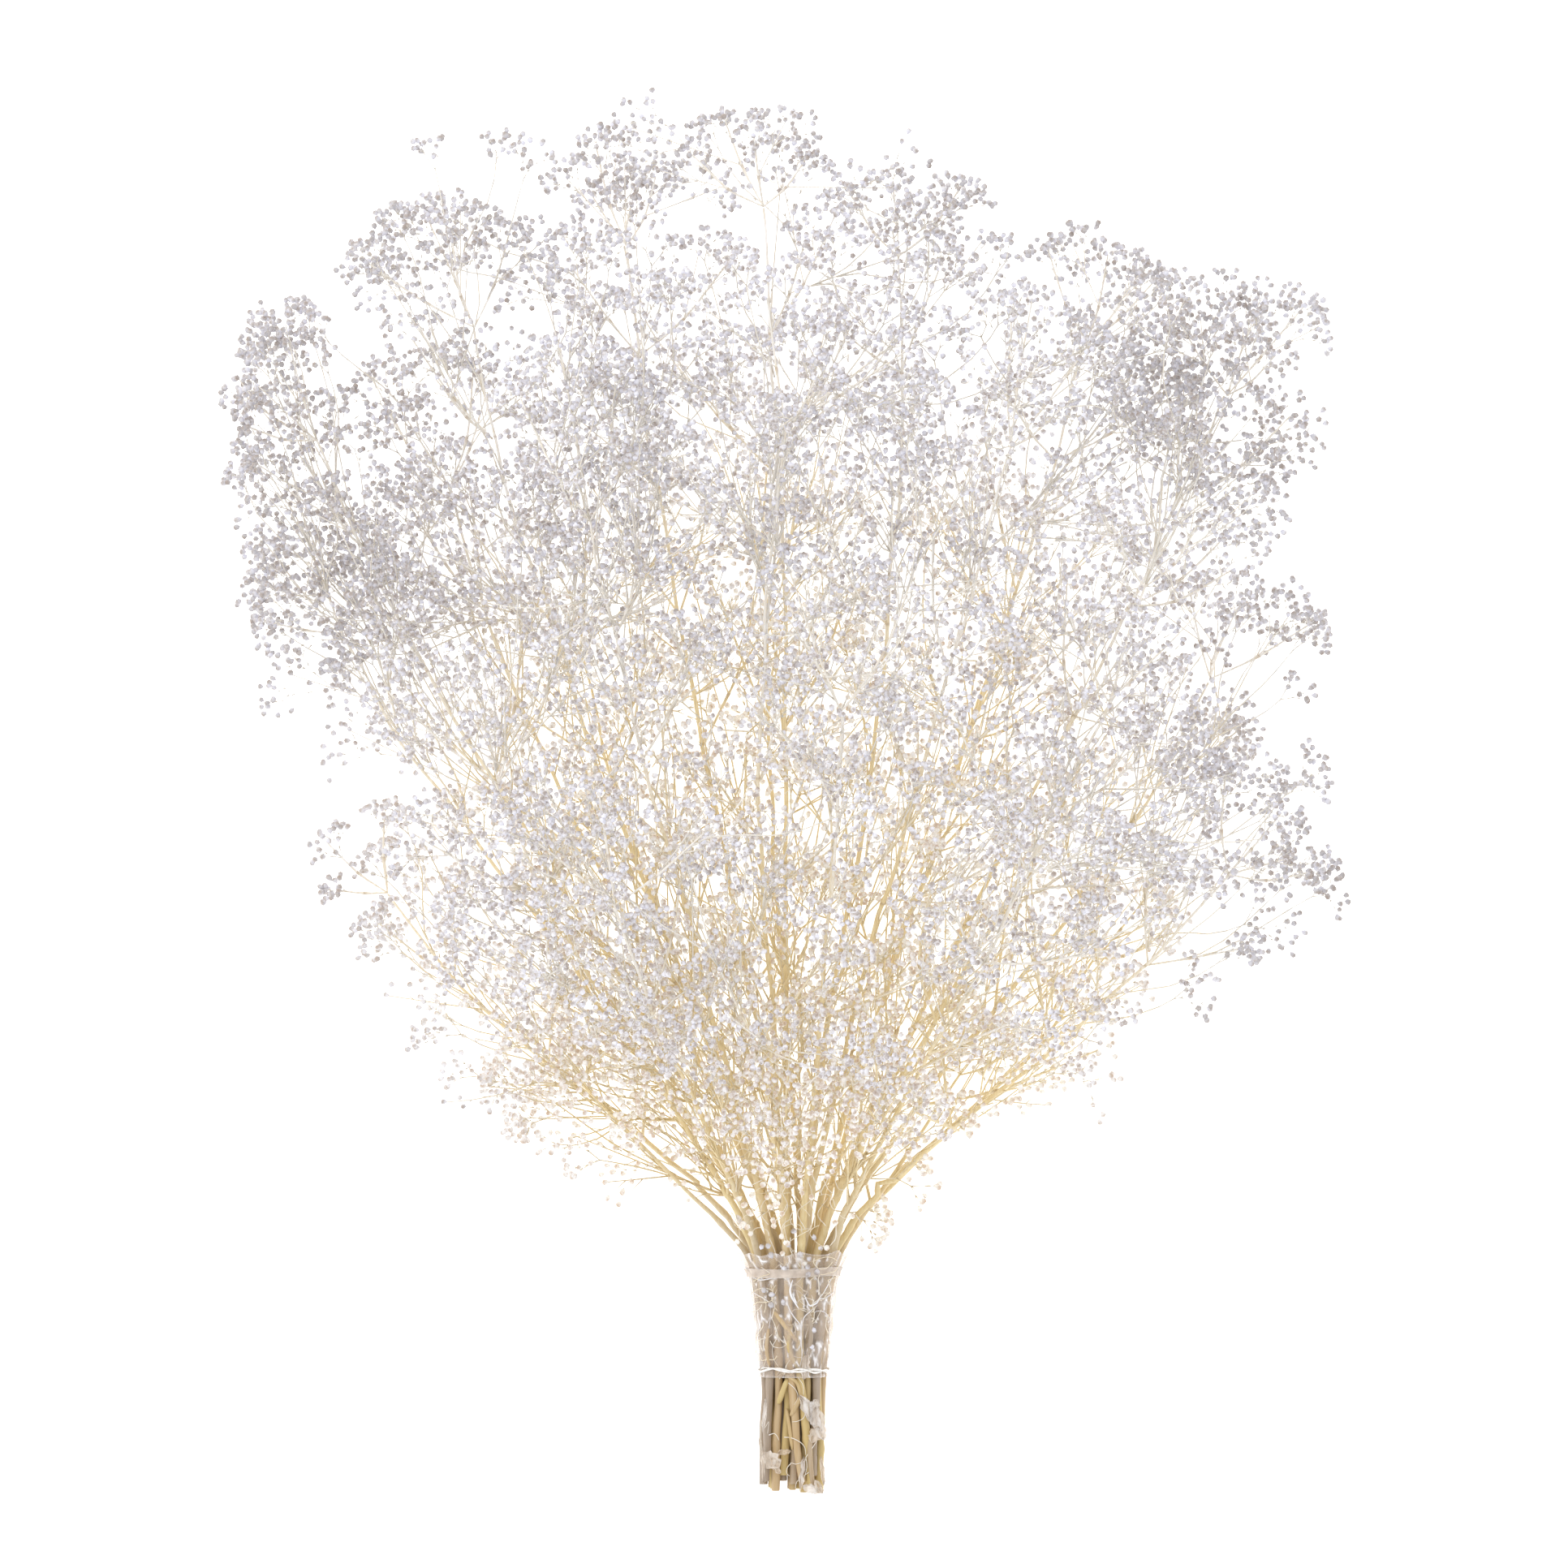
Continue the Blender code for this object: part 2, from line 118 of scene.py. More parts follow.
# Layers of stems, lowest first: (height in the bundle from 0 to 1, sideways slant at the cut ends,
# lobes of the head from left to right). A lobe is (x, y, z, radius), the round space that one
# stem's spray fills at its end.
LAYERS = (
    (0.00, 0.10, (
        (-0.215, 0.196, 0.040, 0.032),
        (-0.236, 0.335, 0.060, 0.050),
        (-0.115, 0.335, 0.034, 0.072),
        (-0.015, 0.425, 0.045, 0.072),
        (0.112, 0.345, 0.034, 0.072),
        (0.162, 0.168, 0.046, 0.036),
    )),
    (0.25, -0.12, (
        (-0.114, 0.104, 0.065, 0.036),
        (-0.245, 0.428, 0.115, 0.042),
        (-0.180, 0.410, 0.080, 0.060),
        (-0.084, 0.530, 0.090, 0.044),
        (0.148, 0.480, 0.085, 0.044),
        (0.218, 0.310, 0.080, 0.050),
        (0.090, 0.108, 0.048, 0.028),
    )),
    (0.50, 0.12, (
        (-0.160, 0.262, 0.130, 0.062),
        (-0.165, 0.488, 0.140, 0.056),
        (-0.014, 0.545, 0.130, 0.044),
        (0.052, 0.520, 0.160, 0.046),
        (0.220, 0.452, 0.150, 0.050),
        (0.226, 0.212, 0.125, 0.048),
    )),
    (0.75, -0.15, (
        (-0.095, 0.200, 0.185, 0.062),
        (-0.105, 0.395, 0.190, 0.070),
        (-0.005, 0.440, 0.200, 0.066),
        (0.110, 0.430, 0.190, 0.066),
        (0.180, 0.360, 0.180, 0.064),
        (0.125, 0.215, 0.180, 0.062),
    )),
    (1.00, 0.45, (
        (-0.020, 0.130, 0.120, 0.052),
        (0.025, 0.300, 0.200, 0.064),
    )),
)
LOBES = np.array([lobe for layer in LAYERS for lobe in layer[2]])


# Directions and curves


def unit(vector):
    return vector / math.sqrt(float(vector @ vector))


def lean(direction, angle, azimuth):
    """The direction turned away from itself by an angle, to the side that the azimuth gives."""
    upright = (0.0, 0.0, 1.0) if abs(direction[2]) < 0.9 else (1.0, 0.0, 0.0)
    side = unit(np.cross(direction, upright))
    away = math.cos(azimuth) * side + math.sin(azimuth) * np.cross(direction, side)
    return math.cos(angle) * direction + math.sin(angle) * away


def scatter(draw, size):
    return np.array([draw.gauss(0.0, size) for _ in range(3)])


def bezier(handles, t):
    start, leave, arrive, end = handles
    s = 1 - t
    return s**3 * start + 3 * s * s * t * leave + 3 * s * t * t * arrive + t**3 * end


def gaps(start, end, starts, ends):
    """Distances from one straight stretch to each of many others."""
    way = end - start
    ways = ends - starts
    offset = start - starts
    a = way @ way
    b = ways @ way
    c = offset @ way
    e = (ways * ways).sum(axis=1)
    f = (ways * offset).sum(axis=1)
    skew = a * e - b * b
    s = np.clip(np.where(skew > 1e-16, (b * f - c * e) / np.maximum(skew, 1e-16), 0.0), 0, 1)
    t = np.clip((b * s + f) / e, 0, 1)
    s = np.clip((b * t - c) / a, 0, 1)
    apart = start + s[:, None] * way - starts - t[:, None] * ways
    return np.sqrt((apart * apart).sum(axis=1))


# Growth of the stems


class Limb:
    """A stem (level 0), branch (1) or twig (2): points from its root to its tip, and radii there."""

    def __init__(self, owner, level, points, radii):
        self.owner = owner
        self.level = level
        self.points = points
        self.radii = radii


class Thicket:
    """Every straight stretch grown so far, to keep each new limb clear of the rest."""

    def __init__(self):
        self.starts = np.zeros((0, 3))
        self.ends = np.zeros((0, 3))
        self.radii = np.zeros(0)
        self.tips = np.zeros((0, 3))

    def add(self, limb):
        points = np.array(limb.points)
        radii = np.array(limb.radii)
        self.starts = np.vstack([self.starts, points[:-1]])
        self.ends = np.vstack([self.ends, points[1:]])
        self.radii = np.append(self.radii, np.maximum(radii[:-1], radii[1:]))
        if limb.level > 0:
            self.tips = np.vstack([self.tips, points[-1:]])

    def room_at(self, place):
        """Distance to the nearest tip."""
        if not len(self.tips):
            return 1.0
        apart = self.tips - place
        return math.sqrt(float((apart * apart).sum(axis=1).min()))

    def is_clear(self, limb):
        """Whether the limb keeps its distance from all stretches but those that meet at its root."""
        root = limb.points[0]
        at_root = np.minimum(
            np.abs(self.starts - root).sum(axis=1), np.abs(self.ends - root).sum(axis=1)
        )
        others = at_root > 1e-4
        starts, ends, radii = self.starts[others], self.ends[others], self.radii[others]
        for i in range(len(limb.points) - 1):
            reach = radii + max(limb.radii[i], limb.radii[i + 1]) + CLEARANCE
            if (gaps(limb.points[i], limb.points[i + 1], starts, ends) < reach).any():
                return False
        return True


def section_at(y):
    """Half width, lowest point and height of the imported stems."""
    stations = [row[0] for row in SECTIONS]
    return [float(np.interp(y, stations, [row[i] for row in SECTIONS])) for i in (1, 2, 3)]


def in_bundle(across, height, y, radius):
    """Centre of a stem in the bundle, from its place across (-1 to 1) and its height (0 to 1)."""
    half, low, tall = section_at(y)
    return np.array([across * (half - radius), y, low + radius + height * (tall - 2 * radius)])


def in_head(place):
    """Whether a place is in the space of some spray, which widens from the neck to its lobe."""
    if not HEAD_BOTTOM < place[2] < HEAD_TOP:
        return False
    axes = LOBES[:, :3] - NECK
    share = np.clip(((place - NECK) * axes).sum(axis=1) / (axes * axes).sum(axis=1), 0.05, 1)
    apart = place - NECK - share[:, None] * axes
    return bool((np.sqrt((apart * apart).sum(axis=1)) < LOBES[:, 3] * share**0.8).any())


def ending_in_bud(points, radii):
    tip = points[-1]
    way = unit(tip - points[-2])
    bud = [tip - BUD_LENGTH * way, tip - BUD_BELLY * BUD_LENGTH * way, tip]
    return points[:-1] + bud, radii[:-1] + [radii[-1], BUD_RADIUS, 0.0]


def main_stem(owner, layer, column, draw):
    """A stem from its cut end through the bundle and into its lobe of the head."""
    height, slant, lobes = layer
    across = LAYER_FILL * (2 * column - (len(lobes) - 1)) / (MOST_IN_A_LAYER - 1)
    radius = draw.uniform(*STEM_RADIUS)
    centre = np.array(lobes[column][:3])
    tip = centre + SHORT_OF_LOBE * lobes[column][3] * unit(NECK - centre)
    cut_y = CUT_Y + draw.uniform(-CUT_SCATTER, CUT_SCATTER)
    route = ((cut_y, 1.0), (LOWER_Y, 0.6), (BAND_Y, 0.1), (TAPE_Y, 0.0))
    points = [in_bundle(across + slant * shift, height, y, radius) for y, shift in route]
    start = points[-1]
    reach = tip - start
    length = math.sqrt(float(reach @ reach))
    leave = unit(unit(start - points[-2]) + LEAVE_LEAN * unit(reach) + scatter(draw, 0.04))
    arrive = unit(unit(reach) + np.array([0.0, ARRIVE_AHEAD, 0.0]) + scatter(draw, 0.10))
    leaving = start + LEAVE_SHARE * length * leave
    arriving = tip - ARRIVE_SHARE * length * arrive
    steps = max(2, round(length / NODE_SPACING))
    radii = [radius] * len(points)
    for share in [MOUTH_REACH / (3 * LEAVE_SHARE * length)] + [(i + 1) / steps for i in range(steps)]:
        place = bezier((start, leaving, arriving, tip), share)
        points.append(place + scatter(draw, 0.0012 * share))
        radii.append(radius + (STEM_TIP_RADIUS - radius) * share**0.6)
    return Limb(owner, 0, points, radii)


def branch(stem, vertex, length, angle, azimuth, draw):
    """A side branch from a joint of a stem, bending towards the stem's own direction."""
    ahead = stem.points[min(vertex + 1, len(stem.points) - 1)]
    along = unit(ahead - stem.points[vertex - 1])
    way = lean(along, angle, azimuth)
    points = [stem.points[vertex]]
    for share in BRANCH_STRETCHES:
        points.append(points[-1] + share * length * way)
        way = unit(way + 0.25 * along + scatter(draw, 0.10) + np.array([0.0, 0.03, 0.0]))
    radii = [min(BRANCH_RADII[0], 0.75 * stem.radii[vertex]), *BRANCH_RADII[1:]]
    return Limb(stem.owner, 1, *ending_in_bud(points, radii))


def twig(parent, vertex, length, angle, azimuth):
    """A straight twig from a joint of a branch."""
    root = parent.points[vertex]
    way = lean(unit(parent.points[vertex + 1] - parent.points[vertex - 1]), angle, azimuth)
    points, radii = ending_in_bud([root, root + length * way], [TWIG_RADIUS, TWIG_RADIUS])
    return Limb(parent.owner, 2, points, radii)


def best_of(tries, thicket, make):
    """Of several drawn limbs, the one that is clear and ends where there is most room."""
    best = None
    most = 0.0
    for _ in range(tries):
        limb = make()
        tip = limb.points[-1]
        low = min(point[2] - radius for point, radius in zip(limb.points, limb.radii))
        if low < LOWEST or not in_head(tip):
            continue
        room = thicket.room_at(tip)
        if room > most and thicket.is_clear(limb):
            best = limb
            most = room
    if best:
        thicket.add(best)
    return best


def grow_mains(draw, thicket):
    mains = []
    for layer in LAYERS:
        for column in range(len(layer[2])):
            for _ in range(STEM_TRIES):
                main = main_stem(len(mains), layer, column, draw)
                if thicket.is_clear(main):
                    break
            else:
                raise ValueError(f"stem {len(mains) + 1} finds no clear way")
            thicket.add(main)
            mains.append(main)
    return mains


def branch_sites(main, vertex):
    """How many branches a joint takes, with their length, its spread and their angles."""
    last = len(main.points) - 1
    if vertex == last:
        return TIP_BRANCHES, LOBES[main.owner, 3], TIP_LENGTHS, TIP_ANGLES
    height = (vertex - FIRST_JOINT) / (last - FIRST_JOINT)
    size = SIDE_LENGTH_LOW + (SIDE_LENGTH_HIGH - SIDE_LENGTH_LOW) * height
    if height > TWO_BRANCHES_ABOVE:
        sites = 2
    elif vertex > FIRST_JOINT or main.owner % 2:
        sites = 1
    else:
        sites = 0
    return sites, size, SIDE_SPREAD, SIDE_ANGLES


def grow_branches(stems, draw, thicket):
    """Branches from the tips down, so that the outline fills first."""
    for step in range(max(len(stem[0].points) for stem in stems) - FIRST_JOINT):
        for stem in stems:
            main = stem[0]
            vertex = len(main.points) - 1 - step
            if vertex < FIRST_JOINT:
                continue
            sites, size, spread, angles = branch_sites(main, vertex)

            def drawn():
                angle = math.radians(draw.uniform(*angles))
                azimuth = draw.uniform(0, math.tau)
                return branch(main, vertex, size * draw.uniform(*spread), angle, azimuth, draw)

            for _ in range(sites):
                limb = best_of(BRANCH_TRIES, thicket, drawn)
                if limb:
                    stem.append(limb)


def grow_twigs(stems, draw, thicket):
    """A twig at the end of each branch, then one at the middle of those that start high enough."""
    for vertex, lowest in ((2, TAPE_Y), (1, TWIGS_LOW_DOWN_FROM_Y)):
        for stem in stems:
            branches = [limb for limb in stem if limb.level == 1]
            for parent in [limb for limb in branches if limb.points[0][1] > lowest]:

                def drawn():
                    angle = math.radians(draw.uniform(*TWIG_ANGLES))
                    azimuth = draw.uniform(0, math.tau)
                    return twig(parent, vertex, draw.uniform(*TWIG_LENGTHS), angle, azimuth)

                limb = best_of(TWIG_TRIES, thicket, drawn)
                if limb:
                    stem.append(limb)


def grow():
    """Each stem as a list of limbs, its main stem first."""
    draw = random.Random(SEED)
    thicket = Thicket()
    stems = [[main] for main in grow_mains(draw, thicket)]
    grow_branches(stems, draw, thicket)
    grow_twigs(stems, draw, thicket)
    return stems


# Fine limbs. Where there are three values, they are for main stems, branches and twigs.
MAIN_SIDES = 10
BRANCH_SIDES = 5
TWIG_SIDES = 3
MAIN_SHARES = (0.0, 0.035, 0.12, 0.35, 0.65, 0.88, 0.965)
BRANCH_SHARES = (0.0, 0.06, 0.34, 0.70)
LIMB_SCALE = (0.98, 1.0, 1.0)
LIMB_PALER = (0.0, 0.10, 0.20)
LIMB_TAPER = 0.70
KNOT = (1.22, 1.40, 1.30)
BEND = 0.0030
FLOOR_ROOM = 0.0024

# Stems in the bundle: their own knots, and their hollow ends as (share of radius, depth, dark)
BUTT_TOP_Y = 0.045
BUTT_STEP = 0.0019
BUTT_SHIFT = 0.009
KNOT_SPANS = ((-0.098, -0.055), (-0.045, -0.010), (0.012, 0.040))
KNOT_LENGTH = 0.0020
HOLLOW = (
    (0.25, 0.00120, 1.0),
    (0.55, 0.00116, 0.9),
    (0.85, 0.00112, 0.3),
    (0.97, 0.00102, 0.3),
    (1.0, 0.0004, 0.0),
)

# Flowering cymes. Past the head's edges (x, y, z) they are drawn in.
EDGES = ((-0.266, 0.260), (-1.0, 0.570), (-1.0, 0.250))
DRAWN_IN = 0.45
CYME_SHARES = (0.30, 0.22, 0.18, 0.14)
CYME_RADII = (0.00040, 0.00035, 0.00036, 0.00033)
PEDICEL_RADIUS = 0.00028

# Buds, with their outline as (share of length, share of radius)
FLOWER_SIDES = 5
FLOWER_LENGTH = 0.0035
FLOWER_RADIUS = 0.00158
FLOWER_SHAPE = ((0.0, 0.0), (0.38, 0.90), (0.80, 0.88), (1.0, 0.0))
FLOWER_SINK = 0.0003
FLOWER_LOWEST = 0.0003

# The golden core of the bunch: golden stems and cream buds, partly their own colour and partly a painted
# warm glow
CORE = np.array([0.01, 0.17, 0.035])
CORE_SIZE = np.array([0.22, 0.28, 0.105])

# Sprays that fill the head between the limbs
SPRAYS = 86
SMALL_SPRAYS = 164
SPRAY_TRIES = 10
SPRAY_STEM = 0.055
SPRAY_SHARES = (0.0, 0.22, 0.48, 0.74, 1.0)
SPRAY_RADII = (0.00056, 0.00042)
SPRAY_REACH = (0.026, 0.040)
SMALL_REACH = (0.024, 0.036)
ANCHOR_SHARES = (0.3, 0.65, 1.0)
SPRAYS_FROM_Y = 0.03
SPRAYS_FROM_Z = 0.006
TWIG_PULL = 0.35

# Painted glow: emission on stems and buds, standing in for light through thin dry tissue
PAINTED_GLOW = 0.06
INNER_PAINTED_GLOW = 0.16

# Bare golden twigs in the heart of the bunch
TWIGLETS = 600
TWIGLET_LENGTHS = (0.030, 0.068)
TWIGLET_SHARES = (0.0, 0.25, 0.5, 0.75, 1.0)
TWIGLET_RADII = (0.00058, 0.00034)
TWIGLET_TOP = 0.245
FORK_LENGTHS = (0.010, 0.020)
FORK_RADIUS = 0.00036
HEART = np.array([0.010, 0.175])
HEART_SIZE = np.array([0.185, 0.205])

# Where the head is thickest besides, as (x, y, z, radius, sprays)
THICK = (
    (-0.249, 0.440, 0.115, 0.034, 12),
    (-0.250, 0.402, 0.110, 0.032, 10),
    (-0.190, 0.362, 0.100, 0.056, 28),
    (-0.228, 0.345, 0.080, 0.036, 11),
    (-0.196, 0.315, 0.085, 0.036, 12),
    (-0.196, 0.334, 0.090, 0.030, 6),
    (-0.158, 0.517, 0.140, 0.042, 9),
    (-0.088, 0.372, 0.160, 0.044, 16),
    (-0.058, 0.450, 0.165, 0.024, 4),
    (0.002, 0.420, 0.185, 0.028, 7),
    (0.032, 0.392, 0.190, 0.026, 5),
    (0.062, 0.478, 0.170, 0.018, 3),
    (-0.084, 0.452, 0.155, 0.044, 18),
    (-0.090, 0.405, 0.175, 0.040, 10),
    (0.048, 0.495, 0.170, 0.030, 6),
    (0.078, 0.464, 0.170, 0.032, 5),
    (0.184, 0.438, 0.150, 0.048, 24),
    (0.174, 0.404, 0.150, 0.036, 15),
    (0.230, 0.298, 0.090, 0.020, 4),
    (-0.182, 0.480, 0.140, 0.026, 5),
    (0.212, 0.208, 0.120, 0.026, 6),
    (0.230, 0.180, 0.100, 0.018, 3),
    (0.122, 0.160, 0.120, 0.030, 4),
    (-0.148, 0.166, 0.100, 0.026, 6),
    (0.200, 0.402, 0.160, 0.040, 10),
    (0.048, 0.405, 0.200, 0.036, 6),
    (0.198, 0.225, 0.120, 0.042, 13),
    (0.166, 0.206, 0.150, 0.040, 8),
    (-0.105, 0.163, 0.110, 0.034, 8),
    (-0.128, 0.116, 0.068, 0.032, 11),
    (-0.105, 0.080, 0.054, 0.026, 8),
    (-0.074, 0.070, 0.062, 0.022, 5),
    (-0.136, 0.193, 0.140, 0.036, 6),
    (-0.004, 0.070, 0.080, 0.024, 8),
    (-0.062, 0.128, 0.125, 0.040, 13),
    (0.030, 0.128, 0.130, 0.040, 13),
    (0.092, 0.140, 0.120, 0.038, 10),
    (-0.094, 0.205, 0.175, 0.042, 10),
    (0.018, 0.200, 0.190, 0.048, 4),
    (-0.062, 0.092, 0.070, 0.026, 7),
    (-0.112, 0.094, 0.060, 0.020, 4),
    (-0.086, 0.116, 0.085, 0.030, 5),
    (0.030, 0.078, 0.060, 0.022, 9),
    (0.000, 0.058, 0.060, 0.012, 4),
    (-0.106, 0.366, 0.140, 0.034, 10),
    (-0.118, 0.178, 0.100, 0.022, 4),
    (-0.105, 0.222, 0.110, 0.032, 8),
    (-0.048, 0.178, 0.090, 0.032, 9),
    (0.138, 0.190, 0.100, 0.032, 8),
    (0.031, 0.160, 0.090, 0.032, 6),
    (0.183, 0.240, 0.110, 0.018, 3),
    (0.153, 0.420, 0.150, 0.020, 4),
    (-0.092, 0.150, 0.080, 0.026, 5),
    (0.000, 0.430, 0.170, 0.020, 3),
    (-0.029, 0.176, 0.150, 0.028, 6),
    (-0.038, 0.112, 0.110, 0.024, 4),
    (0.112, 0.215, 0.180, 0.042, 8),
    (-0.030, 0.080, 0.090, 0.026, 8),
    (0.040, 0.084, 0.090, 0.026, 8),
    (0.118, 0.120, 0.075, 0.028, 5),
)

# Wraps: places round and along them, how far they lie off the stems, and the band's strands as
# (radius, wander, turns)
FILM_AROUND = 110
FILM_ALONG = 40
FILM_TOP = 0.0095
FILM_LIFT = 0.00042
FILM_SHEET = 0.00016
FILM_FOLD = 0.0015
FILM_GRAIN = 0.00022
FILM_FRAY = 0.0022
BAND_PINCH = 0.0022
TAPE_SHARES = (0.0, 0.02, 0.1, 0.3, 0.5, 0.7, 0.9, 0.98, 1.0)
TAPE_LIFT = 0.0016
TAPE_SHEET = 0.00022
BAND_AROUND = 150
STRANDS = ((0.00048, 0.00075, 7), (0.00044, 0.00070, 5), (0.00026, 0.0012, 4))
CRISP_FROM = 70.0

# Painted highlights along the film's creases as (width, whiteness, line), lines in (x, y) millimetres
CREASE_HIGHLIGHTS = (
    (0.42, 1.0, ((-0.4, -3.4), (-1.2, -5.9), (-1.7, -9.0), (-0.9, -12.1), (0.9, -15.1), (2.4, -17.7))),
    (0.30, 1.0, ((-0.6, -10.3), (0.6, -13.1), (1.6, -15.1))),
    (0.34, 1.0, ((5.2, -10.5), (6.7, -14.1), (8.3, -16.4), (11.4, -15.1), (12.9, -13.1), (16.0, -12.6))),
    (0.22, 0.9, ((16.0, -12.6), (18.6, -11.0), (20.4, -9.6))),
    (0.20, 0.9, ((11.9, -14.1), (15.0, -10.0), (18.5, -3.8), (21.6, 0.6))),
    (0.26, 0.7, ((-3.5, -14.1), (-2.0, -18.2), (0.1, -21.8), (2.6, -24.9), (3.9, -26.9))),
    (0.22, 0.7, ((4.2, -26.9), (5.2, -22.3), (8.3, -19.2), (11.9, -16.2))),
    (0.18, 0.6, ((3.9, -26.9), (3.7, -33.6), (4.2, -41.3), (2.9, -48.5))),
    (0.22, 0.8, ((-20.2, -10.0), (-17.4, -11.5), (-13.8, -13.6), (-11.2, -15.7), (-11.5, -18.2))),
    (0.16, 0.6, ((-11.5, -18.2), (-11.7, -23.3), (-12.5, -28.5), (-14.3, -33.6), (-15.8, -38.7))),
    (0.18, 0.7, ((9.8, -21.3), (11.4, -19.2), (15.0, -19.5), (17.5, -22.3), (18.3, -25.9), (17.0, -31.0))),
    (0.22, 0.9, ((-22.5, -1.8), (-19.9, -2.6), (-16.3, -3.6), (-11.7, -2.8), (-6.6, -1.7), (-1.5, -1.0))),
)
# Loose fibres as (radius, line), also in millimetres
FIBRES = (
    (0.24, ((-11.7, -34.1), (-10.2, -36.7), (-6.6, -37.5), (-4.0, -36.2))),
    (0.26, ((-5.1, -31.6), (-3.5, -35.7), (-1.5, -40.3), (1.6, -42.1), (4.2, -42.3))),
    (0.22, ((-9.2, -26.9), (-7.6, -31.6), (-4.5, -35.1))),
    (0.24, ((6.2, -23.3), (9.3, -22.6), (11.9, -24.8))),
    (0.20, ((-11.2, -22.0), (-9.0, -27.0), (-8.2, -32.0), (-10.5, -37.0), (-10.0, -43.0), (-7.5, -47.0))),
    (0.20, ((-14.0, -30.0), (-15.2, -36.0), (-13.5, -41.0), (-14.8, -46.5))),
    (0.26, ((-1.5, 18.0), (-1.8, 12.6), (0.6, 7.4), (3.6, 2.8))),
    (0.22, ((-12.0, 17.5), (-9.5, 11.5), (-8.5, 6.0))),
    (0.24, ((5.7, -63.5), (5.6, -71.5), (2.5, -74.0), (-0.6, -74.5))),
    (0.26, ((14.8, -77.6), (11.2, -84.8), (6.6, -91.5), (5.6, -94.0), (1.5, -95.6), (-1.1, -95.1))),
    (0.24, ((-1.1, -95.1), (-3.2, -97.6), (-3.4, -100.2), (-2.1, -101.7))),
    (0.18, ((7.6, -99.7), (3.5, -102.8), (1.5, -104.8), (0.9, -107.9))),
    (0.20, ((6.1, -92.0), (6.6, -97.6), (4.5, -104.8), (3.0, -110.5))),
    (0.22, ((-12.4, -81.2), (-9.8, -80.4), (-8.3, -81.7), (-7.3, -83.8))),
    (0.26, ((-4.7, -82.2), (-0.6, -82.7), (3.5, -84.8), (5.6, -87.4), (6.1, -91.0))),
    (0.16, ((-14.4, -63.2), (-13.7, -69.4), (-16.0, -74.5), (-16.5, -82.2), (-16.0, -87.9), (-15.6, -99.2))),
    (0.16, ((-13.4, -70.4), (-14.5, -77.6), (-12.4, -74.5), (-13.0, -80.5))),
    (0.14, ((-16.2, -84.0), (-16.8, -92.0), (-15.3, -98.0), (-14.9, -109.9))),
    (0.22, ((-2.6, -55.0), (0.8, -58.2), (2.2, -62.0), (0.4, -66.0))),
    (0.20, ((2.0, -52.0), (4.6, -56.0), (5.0, -61.0))),
    (0.28, ((-35.4, 70.0), (-26.0, 66.5), (-17.3, 65.2), (-6.0, 73.0), (8.8, 84.0))),
    (0.24, ((-22.0, 44.0), (-12.0, 50.0), (-4.0, 61.0), (6.0, 66.0))),
    (0.24, ((14.0, 40.0), (9.0, 52.0), (13.0, 64.0), (24.0, 72.0))),
    (0.22, ((-8.0, 26.0), (-3.0, 34.0), (-6.0, 43.0), (-1.0, 52.0))),
    (0.22, ((6.0, 22.0), (2.0, 31.0), (9.0, 38.0), (7.0, 48.0))),
    (0.20, ((-18.0, 28.0), (-12.0, 33.0), (-14.0, 42.0))),
    (0.20, ((16.0, 24.0), (12.0, 30.0), (17.0, 38.0))),
)
STRAY_BUDS = (
    (-6.1, 2.6), (6.0, 2.0), (8.5, 0.3), (11.9, 2.3), (-10.7, 7.4), (6.8, 8.0), (-11.5, 14.1),
    (-14.8, -9.8), (-9.4, -10.8), (-10.2, -17.2), (9.8, -27.5), (8.0, -37.2), (-5.6, -13.0),
    (3.1, 11.0), (-3.0, 15.6), (12.4, 13.0), (-16.5, 12.0), (1.2, 20.4), (9.9, 19.6),
)
# Broken stems that lie across the others, as (radius, paleness, line), in millimetres
LOOSE = (
    (1.30, 0.15, ((-10.0, -19.0), (-5.0, -25.5), (1.8, -34.5))),
    (1.10, 0.35, ((-1.0, -26.0), (-2.5, -37.0), (2.0, -48.0))),
    (1.45, 0.10, ((-3.2, -53.5), (-5.6, -60.0), (-7.6, -65.5))),
    (1.35, 0.25, ((4.4, -61.5), (1.6, -66.0), (-1.4, -71.5))),
    (1.00, 0.45, ((-2.6, -52.0), (1.8, -55.2), (3.9, -62.5))),
    (1.00, 0.10, ((-3.6, -68.0), (-2.2, -76.0), (-0.6, -88.5))),
    (1.20, 0.50, ((7.0, -18.0), (8.8, -30.0), (6.4, -44.0))),
    (1.25, 0.10, ((9.0, -78.0), (8.0, -90.0), (9.6, -108.0))),
    (0.90, 0.60, ((-12.5, -28.0), (-13.5, -38.0), (-12.0, -47.0))),
    (0.90, 0.20, ((60.8, 81.4), (71.0, 77.0), (82.5, 72.0))),
    (0.90, 0.10, ((-9.0, 62.0), (-13.0, 90.0), (-11.3, 114.0), (-18.0, 130.0))),
)
CURLS = 90

